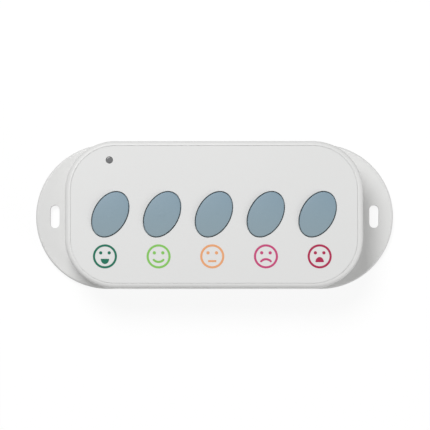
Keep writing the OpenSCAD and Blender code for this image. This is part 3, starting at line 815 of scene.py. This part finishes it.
def boolean(body, tool, how):
    """Joins or cuts one bmesh with another, and returns the result in place of both."""
    holders = []
    for bm in (body, tool):
        bmesh.ops.recalc_face_normals(bm, faces=bm.faces)
        mesh = bpy.data.meshes.new("work")
        bm.to_mesh(mesh)
        bm.free()
        holder = bpy.data.objects.new("work", mesh)
        bpy.context.scene.collection.objects.link(holder)
        holders.append(holder)
    step = holders[0].modifiers.new("boolean", "BOOLEAN")
    step.object = holders[1]
    step.operation = how
    step.solver = "EXACT"
    result = bmesh.new()
    result.from_object(holders[0], bpy.context.evaluated_depsgraph_get())
    for holder in holders:
        mesh = holder.data
        bpy.data.objects.remove(holder)
        bpy.data.meshes.remove(mesh)
    return result


sample = boolean(sample, oval_post(bmesh.new(), (0, 0), 3, 3, -1, 2), "DIFFERENCE")
print("with a hole it has", len(sample.faces))
sample.free()


# %% [markdown]
# Every piece ends the same way. It is scaled to metres, gets smooth faces with sharp creases, hides
# the CAD node that it stands for, rides on its body and wears its finish.

# %% Function: a finished piece
def finish_piece(name, bm, node, body, slot, smooth=40):
    """Turns a bmesh in millimetres into a finished piece that stands for a CAD node."""
    bmesh.ops.remove_doubles(bm, verts=bm.verts, dist=0.0005)
    bmesh.ops.recalc_face_normals(bm, faces=bm.faces)
    bmesh.ops.scale(bm, vec=(MM, MM, MM), verts=bm.verts)
    for face in bm.faces:
        face.smooth = True
    open_edges = sum(not edge.is_manifold for edge in bm.edges)
    mesh = bpy.data.meshes.new(name)
    bm.to_mesh(mesh)
    bm.free()
    mesh.set_sharp_from_angle(angle=math.radians(smooth))
    mesh.materials.append(finishes[slot])
    piece = bpy.data.objects.new(name, mesh)
    bpy.context.scene.collection.objects.link(piece)
    steady = piece.modifiers.new("weighted_normals", "WEIGHTED_NORMAL")
    steady.keep_sharp = True
    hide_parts(node)
    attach(piece, body)
    print(f"{name}: {len(mesh.polygons)} faces, {open_edges} open edges")
    return piece


print(len(finishes), "finishes wait for their pieces")


# %% [markdown]
# ## Buttons
# A cap is a slanted oval that stands a little proud of the face. A fingertip feels three things:
# the rounded rim, the very slight crown of the top and the thin gap round it. Below the face a
# flange keeps the cap in, and a stud inside it meets the switch. The cap is pulled up from its
# flange ring by ring, the rim is bevelled, and then every vertex of the top sinks by the crown's
# sphere, which also lowers the rim at the oval's ends as on the real cap.

# %% Model the caps
cap_lean = math.radians(60.7)
flange_reach = 1.2
flange_height = 1.1
cap_wall = 1.2
cap_top = 1.6
cap_rim = 0.45
crown_start = 0.5
flange_rim = 0.15
crown_radius = 110.0
stud_radius = 1.9
crown_rings = 5

# A leaning oval's two axes, worked back from the sides of its box
half = size_mm("button_cap_1") / 2
sine, cosine = math.sin(cap_lean) ** 2, math.cos(cap_lean) ** 2
flange_long = 2 * math.sqrt((half.y ** 2 * sine - half.x ** 2 * cosine) / (sine - cosine))
flange_short = 2 * math.sqrt((half.x ** 2 * sine - half.y ** 2 * cosine) / (sine - cosine))
cap_long, cap_short = flange_long - 2 * flange_reach, flange_short - 2 * flange_reach
print(f"cap: {cap_long:.2f} x {cap_short:.2f} mm")


def model_cap(number):
    """One button cap, in millimetres, round the place of its CAD node."""
    middle, height = middle_mm(f"button_cap_{number}"), size_mm(f"button_cap_{number}").z
    bm = oval_post(bmesh.new(), (0, 0), flange_long, flange_short, 0, flange_height)
    top = [face for face in bm.faces if face.normal.z > 0.9]
    top = narrow(bm, top, cap_long / flange_long, cap_short / flange_short)
    top = pull(bm, top, height - flange_height)
    soften_rim(bm, height, cap_rim, 4)
    top = [face for face in bm.faces if face.calc_center_median().z > height - 0.001]
    for ring in range(crown_rings, 0, -1):
        share = ring / (ring + 1)
        top = narrow(bm, top, share, share)
    bmesh.ops.poke(bm, faces=top)
    for vert in bm.verts:
        if vert.co.z > flange_height + crown_start:
            vert.co.z -= vert.co.xy.length_squared / (2 * crown_radius)
    base = [face for face in bm.faces if face.calc_center_median().z < 0.001]
    inner_long, inner_short = cap_long - 2 * cap_wall, cap_short - 2 * cap_wall
    base = narrow(bm, base, inner_long / flange_long, inner_short / flange_short)
    base = pull(bm, base, height - cap_top)
    base = narrow(bm, base, 2 * stud_radius / inner_long, 2 * stud_radius / inner_short)
    pull(bm, base, cap_top - height)
    soften_rim(bm, 0, flange_rim, 2)
    return put(bm, middle.x, middle.y, box_mm(f"button_cap_{number}")[0].z, cap_lean)


for number in range(1, 6):
    finish_piece(f"cap_{number}", model_cap(number), f"button_cap_{number}",
                 f"button_{number}", "button_plastic")

# %% [markdown]
# ## Front cover
# The front cover is one moulded shell. Its outline is a slab with round corners whose front edge
# is rounded, and the inside is the same outline drawn in by the wall and pushed up. The label
# sits in a shallow recess, so that its cut edge can't be picked at. Its sizes come first, as the
# label, the back cover and the screws need them too.

# %% Sizes of the front cover
corner_radius = 23.9
edge_radius = 2.1
wall = 2.5
rest_gap = 0.1
label_gap = 0.1
cap_gap = 0.4
collar_reach = 0.9
recess_radius = corner_radius - (body_length - (label_high.x - label_low.x)) / 2 + label_gap
ceiling_z = box_mm("button_cap_3")[0].z + flange_height + rest_gap
window = middle_mm("indicator_lens")
lens_low, lens_high = box_mm("indicator_lens")
collar_radius = size_mm("indicator_lens").x / 2
lens_radius = collar_radius - collar_reach
window_hole = lens_radius + label_gap
boss_radius = 3.5
boss_bore = 1.25
post_radius = 2.4
post_bore = 0.75
screw_low, screw_high = box_mm("cover_screws")
pin_low, pin_high = box_mm("board_screws")
lip_above_pads = 1.0
pad_z = back_high.z - lip_above_pads
board_top = box_mm("main_board")[1].z
seam_rim = 0.25
opening_rim = 0.05
# How far a cutting tool reaches past what it cuts
PAST = 1


def corner_places(node, head_diameter):
    """The four centres of a group of screws, from the group's box."""
    low, high = box_mm(node)
    reach_x, reach_y = high.x - head_diameter / 2, high.y - head_diameter / 2
    return [(x * reach_x, y * reach_y) for x in (-1, 1) for y in (-1, 1)]


def open_face(holes, clearance, low, high):
    """Adds the five openings of the caps and the window's hole to a cutting tool."""
    for number in range(1, 6):
        oval_post(holes, middle_mm(f"button_cap_{number}"), cap_long + 2 * clearance,
                  cap_short + 2 * clearance, low, high, cap_lean)
    oval_post(holes, window, 2 * window_hole, 2 * window_hole, low, high, sides=48)
    return holes


COVER_HEAD = 5.55
BOARD_HEAD = 3.7
boss_places = corner_places("cover_screws", COVER_HEAD)
post_places = corner_places("board_screws", BOARD_HEAD)
print("bosses at", [(round(x, 1), round(y, 1)) for x, y in boss_places])

# %% [markdown]
# Bosses are added and holes cut with the exact boolean, which keeps round things round, and the
# rims that can be seen or felt are softened last.

# %% Model the front cover
shell = rounded_slab(body_length, body_width, corner_radius, seam_z, face_z)
soften_rim(shell, face_z, edge_radius, 10)
under = [face for face in shell.faces if face.normal.z < -0.9]
bmesh.ops.inset_region(shell, faces=under, thickness=wall, use_even_offset=True)
pull(shell, under, ceiling_z - seam_z)
label_size = size_mm("panel_label")
recess = rounded_slab(label_size.x + 2 * label_gap, label_size.y + 2 * label_gap,
                      recess_radius, label_low.z, face_z + PAST)
shell = boolean(shell, recess, "DIFFERENCE")
stems = round_posts(bmesh.new(), boss_places, boss_radius, pad_z, ceiling_z + PAST, 48)
round_posts(stems, post_places, post_radius, board_top, ceiling_z + PAST, 40)
shell = boolean(shell, stems, "UNION")
holes = open_face(bmesh.new(), cap_gap, ceiling_z - PAST, face_z + PAST)
round_posts(holes, boss_places, boss_bore, pad_z - PAST, screw_high.z, 32)
round_posts(holes, post_places, post_bore, board_top - PAST, pin_high.z, 32)
shell = boolean(shell, holes, "DIFFERENCE")
soften_rim(shell, seam_z, seam_rim, 3)
soften_rim(shell, face_z, opening_rim, 2)
finish_piece("front_shell", shell, "front_cover", "case", "case_front")

# %% [markdown]
# ## Label
# The label is a sheet of printed film, die-cut to the recess with its own holes. A knife leaves
# the top edge slightly rounded, and that is what catches the light as a thin line.

# %% Model the label
label_rim = 0.08
film = rounded_slab(label_size.x, label_size.y, recess_radius - label_gap,
                    label_low.z, label_high.z)
holes = open_face(bmesh.new(), cap_gap + label_gap, label_low.z - PAST, label_high.z + PAST)
film = boolean(film, holes, "DIFFERENCE")
soften_rim(film, label_high.z, label_rim, 2)
finish_piece("label_sheet", film, "panel_label", "case", "label_film")

# %% [markdown]
# ## Back cover
# The back cover is a plate whose ends stand out as wings, with a slot in each for a fixing screw.
# A stadium is a slab whose corner radius is half its width. A lip on it locates the front cover,
# four pads meet its bosses, and the screw heads are sunk into the back.

# %% Model the back cover
plate_edge = 1.0
lip_gap = 0.2
lip_wall = 1.5
slot_rim = 0.2
foot_rim = 0.3
screw_bore = 1.7
head_gap = 0.2
root = 0.5
slot_mount = mounts["wall_slot_right"]
slot_x = slot_mount["pos_m"][0] / MM
slot_width = 2 * slot_mount["dims"]["hole_r_mm"]
slot_length = slot_mount["dims"]["slot_length_mm"]
head_depth = 2.2
lip_inset = wall + lip_gap
lip_length, lip_width = body_length - 2 * lip_inset, body_width - 2 * lip_inset
lip_radius = corner_radius - lip_inset

plate = rounded_slab(back_high.x - back_low.x, body_width, body_width / 2, 0, seam_z, arc=40)
soften_rim(plate, seam_z, plate_edge, 6)
lip = rounded_slab(lip_length, lip_width, lip_radius, seam_z - root, back_high.z)
hollow = rounded_slab(lip_length - 2 * lip_wall, lip_width - 2 * lip_wall, lip_radius - lip_wall,
                      seam_z - PAST, back_high.z + PAST)
plate = boolean(plate, boolean(lip, hollow, "DIFFERENCE"), "UNION")
pads = round_posts(bmesh.new(), boss_places, boss_radius, seam_z - root, pad_z, 48)
plate = boolean(plate, pads, "UNION")
bores = round_posts(bmesh.new(), boss_places, screw_bore, -PAST, pad_z + PAST, 40)
plate = boolean(plate, bores, "DIFFERENCE")
sinks = round_posts(bmesh.new(), boss_places, COVER_HEAD / 2 + head_gap, -PAST, head_depth, 48)
slots = [put(rounded_slab(slot_width, slot_length, slot_width / 2, -PAST, seam_z + PAST, arc=16),
             x=end * slot_x) for end in (-1, 1)]
plate = boolean(plate, joined([sinks, *slots]), "DIFFERENCE")
slot_edges = [edge for edge in sharp_edges(plate, seam_z)
              if abs(edge.verts[0].co.x) > body_length / 2]
soften(plate, slot_edges, slot_rim, 3)
soften_rim(plate, 0, foot_rim, 3)
finish_piece("back_plate", plate, "back_cover", "case", "case_back")


# %% [markdown]
# ## Window
# The window is a short rod with a collar behind the cover. Its end is a hair below flush and its
# edge is rounded, which is how a light pipe is moulded. A profile spun about its own axis makes
# it in one step.

# %% Model the window
def spun(profile, centre=(0, 0), sides=64):
    """Spins a profile of (radius, height) points about a vertical axis, closed at its poles."""
    bm = bmesh.new()
    points = [bm.verts.new((radius, 0, height)) for radius, height in profile]
    edges = [bm.edges.new(pair) for pair in zip(points, points[1:])]
    bmesh.ops.spin(bm, geom=points + edges, cent=(0, 0, 0), axis=(0, 0, 1),
                   angle=math.tau, steps=sides, use_merge=True)
    bmesh.ops.remove_doubles(bm, verts=bm.verts, dist=0.0005)
    return put(bm, centre[0], centre[1])


collar_thickness = 0.8
collar_cut = 0.15
foot_cut = 0.2
collar_z = ceiling_z - collar_thickness
lens_top = lens_high.z
# Its last five points are the polished end's rounded edge and its slight crown
lens_profile = [
    (0, lens_low.z), (lens_radius - foot_cut, lens_low.z), (lens_radius, lens_low.z + foot_cut),
    (lens_radius, collar_z), (collar_radius - collar_cut, collar_z),
    (collar_radius, collar_z + collar_cut), (collar_radius, ceiling_z), (lens_radius, ceiling_z),
    (lens_radius, lens_top - 0.25),
    (lens_radius - 0.07, lens_top - 0.09), (lens_radius - 0.25, lens_top - 0.03),
    (lens_radius * 0.5, lens_top - 0.005), (0, lens_top),
]
finish_piece("indicator_window", spun(lens_profile, window), "indicator_lens", "case", "lens",
             smooth=50)


# %% [markdown]
# ## Screws
# The screws are pan heads with a cross recess. The head with its rounded edges and the shank are
# one spun profile, and the recess is cut by two tapered blades. The shank stays plain, because
# its thread is buried in the case over its whole length.

# %% Model the screws
def screw(place, low, head_radius, head_height, shank_radius, length):
    """One screw with its head down, in millimetres."""
    round_off = head_height * 0.35
    top = low + head_height
    tip = top + length
    profile = [
        (0, low), (head_radius * 0.72, low),
        (head_radius - round_off * 0.35, low + round_off * 0.3),
        (head_radius, low + round_off), (head_radius, top - 0.12), (head_radius - 0.12, top),
        (shank_radius, top), (shank_radius, tip - shank_radius * 0.5), (shank_radius * 0.45, tip),
        (0, tip),
    ]
    body = spun(profile, sides=48)
    for angle in (0, math.pi / 2):
        blade = bmesh.new()
        corners = bmesh.ops.create_cube(blade, size=1)["verts"]
        blade_size = (head_radius * 1.05, head_radius * 0.26, head_height * 1.3)
        bmesh.ops.scale(blade, vec=blade_size, verts=corners)
        for vert in corners:
            if vert.co.z > 0:
                vert.co.x *= 0.55
        body = boolean(body, put(blade, z=low, angle=angle), "DIFFERENCE")
    return put(body, place[0], place[1])


for name, places, low, sizes in (
        # sizes: head radius, head height, shank radius, shank length
        ("cover_screw", boss_places, screw_low.z, (COVER_HEAD / 2, 1.8, 1.5, 10)),
        ("board_screw", post_places, pin_low.z, (BOARD_HEAD / 2, 1.2, 1.0, 5))):
    screws = joined(screw(place, low, *sizes) for place in places)
    finish_piece(f"{name}_set", screws, f"{name}s", "case", "screw_steel")

# %% [markdown]
# ## Snap domes
# Under each plunger lies a disc of spring steel, pressed into a shallow dome, whose sudden give is
# the click. It is part of the case, so it can't travel with the plunger; a pressed dome flattens,
# but here each dome keeps its shape and only gets a mesh of its own.

# %% Model the snap domes
DOME_SHEET = 0.12
DOME_STEPS = 10


def dome_arc(rim, rise):
    """Points from the top of a shallow dome down to its rim."""
    ball = (rim ** 2 + rise ** 2) / (2 * rise)
    spread = math.asin(rim / ball)
    turns = [spread * step / DOME_STEPS for step in range(DOME_STEPS + 1)]
    return [(ball * math.sin(turn), rise - ball + ball * math.cos(turn)) for turn in turns]


domes = [(f"snap_dome_{number}", f"switch_dome_{number}", f"button_{number}_press", 1)
         for number in range(1, 6)]
domes.append(("setup_snap_dome", "setup_switch_dome", "setup_button_press", -1))
for name, node, joint, upward in domes:
    rim, rise = size_mm(node).x / 2, size_mm(node).z
    foot = box_mm(node)[0 if upward > 0 else 1].z
    profile = dome_arc(rim, rise) + dome_arc(rim - DOME_SHEET, rise - DOME_SHEET)[::-1]
    dome = spun([(radius, foot + upward * height) for radius, height in profile],
                middle_mm(node), sides=48)
    piece = finish_piece(name, dome, node, "case", "dome_steel")
    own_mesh(piece)

# %% [markdown]
# ## Cells
# An AA cell is a drawn steel can in a shrink sleeve. The sleeve rolls over at both ends and leaves
# the steel bare inside its rim: the nub with its shoulder on one end, the flat with a ring groove
# on the other. The whole cell is one spun profile, laid on its side. Where the sleeve ends is a
# mask in its finish, by the distance from the cell's axis.

# %% Model the cells
NUB_RADIUS = 2.75
STEP = 0.3
GROOVE = 0.25
# A rolled corner: how far its ends and its middle lie from the sharp corner
ROLL, ROLL_MIDDLE = 0.4, 0.12

cell_middle = {number: middle_mm(f"battery_{number}") for number in (1, 2)}
for number, along in ((1, 1), (2, -1)):
    low, high = box_mm(f"battery_{number}")
    length = high.x - low.x
    radius = (high.z - low.z) / 2
    profile = [
        (0, 0), (NUB_RADIUS - 0.5, 0), (NUB_RADIUS - ROLL_MIDDLE, ROLL_MIDDLE),
        (NUB_RADIUS, 0.45), (NUB_RADIUS, NUB_HEIGHT + STEP),
        (SLEEVE_OPENING - STEP, NUB_HEIGHT + STEP), (SLEEVE_OPENING, NUB_HEIGHT + 0.08),
        (SLEEVE_OPENING + STEP, NUB_HEIGHT), (radius - ROLL, NUB_HEIGHT),
        (radius - ROLL_MIDDLE, NUB_HEIGHT + ROLL_MIDDLE), (radius, NUB_HEIGHT + ROLL),
        (radius, length - ROLL), (radius - ROLL_MIDDLE, length - ROLL_MIDDLE),
        (radius - ROLL, length), (SLEEVE_OPENING, length),
        (SLEEVE_OPENING - 0.2, length - GROOVE), (SLEEVE_OPENING - 0.7, length - GROOVE),
        (SLEEVE_OPENING - 0.9, length), (0, length),
    ]
    cell = put(spun(profile, sides=72), low.x if along > 0 else high.x,
               cell_middle[number].y, cell_middle[number].z, along * math.pi / 2, "Y")
    finish_piece(f"cell_{number}", cell, f"battery_{number}", "case", "cell_wrap")


# %% [markdown]
# ## Springs and antenna
# All three are round wire wound on a mandrel. A battery spring is a cone whose first and last
# turns lie flat, so that it stands square between plate and cell. A wire is a chain of circles
# whose sides are carried along without twist.

# %% Model the springs
def wire(path, radius, sides=14):
    """A round wire along a path of points."""
    bm = bmesh.new()
    side = (path[1] - path[0]).orthogonal().normalized()
    before = None
    for index, point in enumerate(path):
        ahead = path[min(index + 1, len(path) - 1)] - path[max(index - 1, 0)]
        ahead.normalize()
        side = (side - ahead * side.dot(ahead)).normalized()
        other = ahead.cross(side)
        ring = [
            bm.verts.new(point + radius * (math.cos(math.tau * step / sides) * side
                                           + math.sin(math.tau * step / sides) * other))
            for step in range(sides)
        ]
        if before is None:
            bm.faces.new(ring)
        else:
            for step in range(sides):
                after = (step + 1) % sides
                bm.faces.new((before[step], before[after], ring[after], ring[step]))
        before = ring
    bm.faces.new(before)
    return bm


SPRING_WIRE = 0.3
WIDE_RADIUS = 4.0
NARROW_RADIUS = 2.6
SPRING_TURNS = 4.5
FLAT_TURN = 0.8
TURN_STEPS = 32
for number, side in ((1, -1), (2, 1)):
    low, high = box_mm(f"battery_spring_{number}")
    centre = cell_middle[number]
    root = high.x if side < 0 else low.x
    rise = high.x - low.x - 2 * SPRING_WIRE
    path = []
    for step in range(int(SPRING_TURNS * TURN_STEPS) + 1):
        turn = step / TURN_STEPS
        share = min(max((turn - FLAT_TURN) / (SPRING_TURNS - 2 * FLAT_TURN), 0), 1)
        reach = WIDE_RADIUS + (NARROW_RADIUS - WIDE_RADIUS) * turn / SPRING_TURNS
        angle = math.tau * turn
        path.append(Vector((
            root + side * (SPRING_WIRE + rise * share),
            centre.y + reach * math.cos(angle), centre.z + reach * math.sin(angle))))
    finish_piece(f"cone_spring_{number}", wire(path, SPRING_WIRE), f"battery_spring_{number}",
                 "case", "contact_steel")

# %% [markdown]
# The antenna is an even coil on one straight foot, which stands on the board's back.

# %% Model the antenna
ANTENNA_WIRE = 0.4
LOOPS = 7
FOOT_SHARES = (0, 0.3, 0.6, 0.85)
low, high = box_mm("antenna_coil")
reach = (high.y - low.y) / 2 - ANTENNA_WIRE
axis_y, axis_z = (low.y + high.y) / 2, low.z + ANTENNA_WIRE + reach
pitch = (high.x - low.x - 2 * ANTENNA_WIRE) / LOOPS
start_x = low.x + ANTENNA_WIRE
path = [Vector((start_x, axis_y - reach, high.z + (axis_z - high.z) * share))
        for share in FOOT_SHARES]
for step in range(LOOPS * TURN_STEPS + 1):
    turn = step / TURN_STEPS
    angle = -math.pi / 2 - math.tau * turn
    path.append(Vector((start_x + pitch * turn, axis_y + reach * math.sin(angle),
                        axis_z + reach * math.cos(angle))))
finish_piece("antenna_spiral", wire(path, ANTENNA_WIRE), "antenna_coil", "case", "antenna_wire")


# %% [markdown]
# ## Parts on the board
# The small parts hang from the board's back, so each is built standing up and turned over. The
# capacitors are drawn cans on a chamfered base, with the groove that holds the can.

# %% Model the capacitors
def hung(bm, node, x=0, y=0):
    """Turns a piece that stands on z = 0 over and hangs it from the board, off a node's middle."""
    middle = middle_mm(node)
    return put(bm, middle.x + x, middle.y + y, box_mm(node)[1].z, math.pi, "X")


size = size_mm("reservoir_capacitors")
can_radius = size.y / 2 - 0.15
groove = can_radius - 0.25
parts = []
for end in (-1, 1):
    base = rounded_slab(size.y, size.y, 0.9, 0, CAPACITOR_BASE, arc=1)
    soften_rim(base, CAPACITOR_BASE, 0.12, 2)
    can = spun([
        (0, 0.9), (can_radius - 0.3, 0.9), (can_radius, 1.2), (can_radius, 1.6), (groove, 1.85),
        (groove, 2.05), (can_radius, 2.3), (can_radius, size.z - 0.5),
        (can_radius - 0.15, size.z - 0.15), (can_radius - 0.5, size.z), (0, size.z),
    ], sides=56)
    for piece in (base, can):
        parts.append(hung(piece, "reservoir_capacitors", x=end * (size.x - size.y) / 2))
finish_piece("capacitor_pair", joined(parts), "reservoir_capacitors", "case", "capacitor_can",
             smooth=30)

# %% [markdown]
# The chip has a moulded body with chamfered edges, and bent leads on all four sides. One lead is
# a bent outline with a width, and two loops set it round the body.

# %% Model the chip
LEADS = 8
CHIP_STAND = 0.1
LEAD_BEND = (
    # How far out of the chip's side and how high over the board
    (-0.3, 0.75), (0.25, 0.75), (0.5, 0.2), (LEAD_OUT, 0.15),
    (LEAD_OUT, 0.0), (0.4, 0.05), (0.12, 0.6), (-0.3, 0.6),
)
chip_height = size_mm("controller_chip").z
lead_pitch = 2 * chip_half * 0.75 / (LEADS - 1)
body = rounded_slab(2 * chip_half, 2 * chip_half, 0.25, CHIP_STAND, chip_height, arc=3)
soften(body, sharp_edges(body, chip_height) + sharp_edges(body, CHIP_STAND), 0.2, 1)
parts = [hung(body, "controller_chip")]
for quarter in range(4):
    for index in range(LEADS):
        lead = bmesh.new()
        strip = lead.faces.new([lead.verts.new((chip_half + out, 0, up)) for out, up in LEAD_BEND])
        bmesh.ops.translate(lead, vec=(0, lead_pitch / 2, 0), verts=extruded(lead, [strip])[1])
        put(lead, y=(index - (LEADS - 1) / 2) * lead_pitch - lead_pitch / 4)
        parts.append(hung(put(lead, angle=quarter * math.pi / 2), "controller_chip"))
finish_piece("chip_with_leads", joined(parts), "controller_chip", "case", "chip_plastic", smooth=25)

# %% [markdown]
# The header is a row of chamfered blocks on square pins.

# %% Model the header
PINS = 4
PIN_SIDE = 0.64
size = size_mm("programming_header")
pin_pitch = size.y / PINS
parts = []
for index in range(PINS):
    block = rounded_slab(size.x, pin_pitch - 0.01, 0.5, 0, HEADER_BLOCK, arc=1)
    pin = rounded_slab(PIN_SIDE, PIN_SIDE, 0.06, 0, size.z, arc=1)
    soften_rim(pin, size.z, 0.2, 1)
    for piece in (block, pin):
        parts.append(hung(piece, "programming_header", y=(index + 0.5) * pin_pitch - size.y / 2))
finish_piece("pin_header", joined(parts), "programming_header", "case", "chip_plastic", smooth=25)

# %% [markdown]
# The crystal is a can welded to a rim, and the radio's shield is a thin folded box that is open
# towards its board.

# %% Model the crystal and the shield
RIM_HEIGHT = 0.6
RIM_REACH = 0.5
size = size_mm("clock_crystal")
rim = rounded_slab(size.x, size.y, size.y / 2, 0, RIM_HEIGHT, arc=16)
soften_rim(rim, RIM_HEIGHT, 0.15, 2)
can = rounded_slab(size.x - 2 * RIM_REACH, size.y - 2 * RIM_REACH, size.y / 2 - RIM_REACH,
                   RIM_HEIGHT - 0.1, size.z, arc=16)
soften_rim(can, size.z, 0.4, 4)
parts = [hung(piece, "clock_crystal") for piece in (rim, can)]
finish_piece("crystal_can", joined(parts), "clock_crystal", "case", "can_steel")

SHIELD_SHEET = 0.2
size = size_mm("radio_shield")
shield = rounded_slab(size.x, size.y, 0.6, 0, size.z, arc=5)
soften_rim(shield, size.z, 0.35, 4)
under = [face for face in shield.faces if face.normal.z < -0.9]
bmesh.ops.inset_region(shield, faces=under, thickness=SHIELD_SHEET, use_even_offset=True)
pull(shield, under, size.z - SHIELD_SHEET)
finish_piece("shield_can", hung(shield, "radio_shield"), "radio_shield", "case", "can_steel")

# %% [markdown]
# The status LED stands on the board's front, under the window: a square base with a domed lens.

# %% Model the status LED
BULB_RADIUS = 1.2
BULB_STEPS = 8
size, middle = size_mm("status_led"), middle_mm("status_led")
led_half = size.z / 2
bulb_foot = led_half + 0.1
base = rounded_slab(size.x, size.y, 0.25, 0, led_half, arc=3)
soften_rim(base, led_half, 0.1, 2)
turns = [step * math.pi / 2 / BULB_STEPS for step in range(1, BULB_STEPS)]
dome = [(BULB_RADIUS * math.cos(turn), bulb_foot + (size.z - bulb_foot) * math.sin(turn))
        for turn in turns]
bulb = spun([(0, led_half - 0.2), (BULB_RADIUS, led_half - 0.2), (BULB_RADIUS, bulb_foot),
             *dome, (0, size.z)], sides=40)
led = put(joined([base, bulb]), middle.x, middle.y, box_mm("status_led")[0].z)
finish_piece("led_package", led, "status_led", "case", "led_resin")
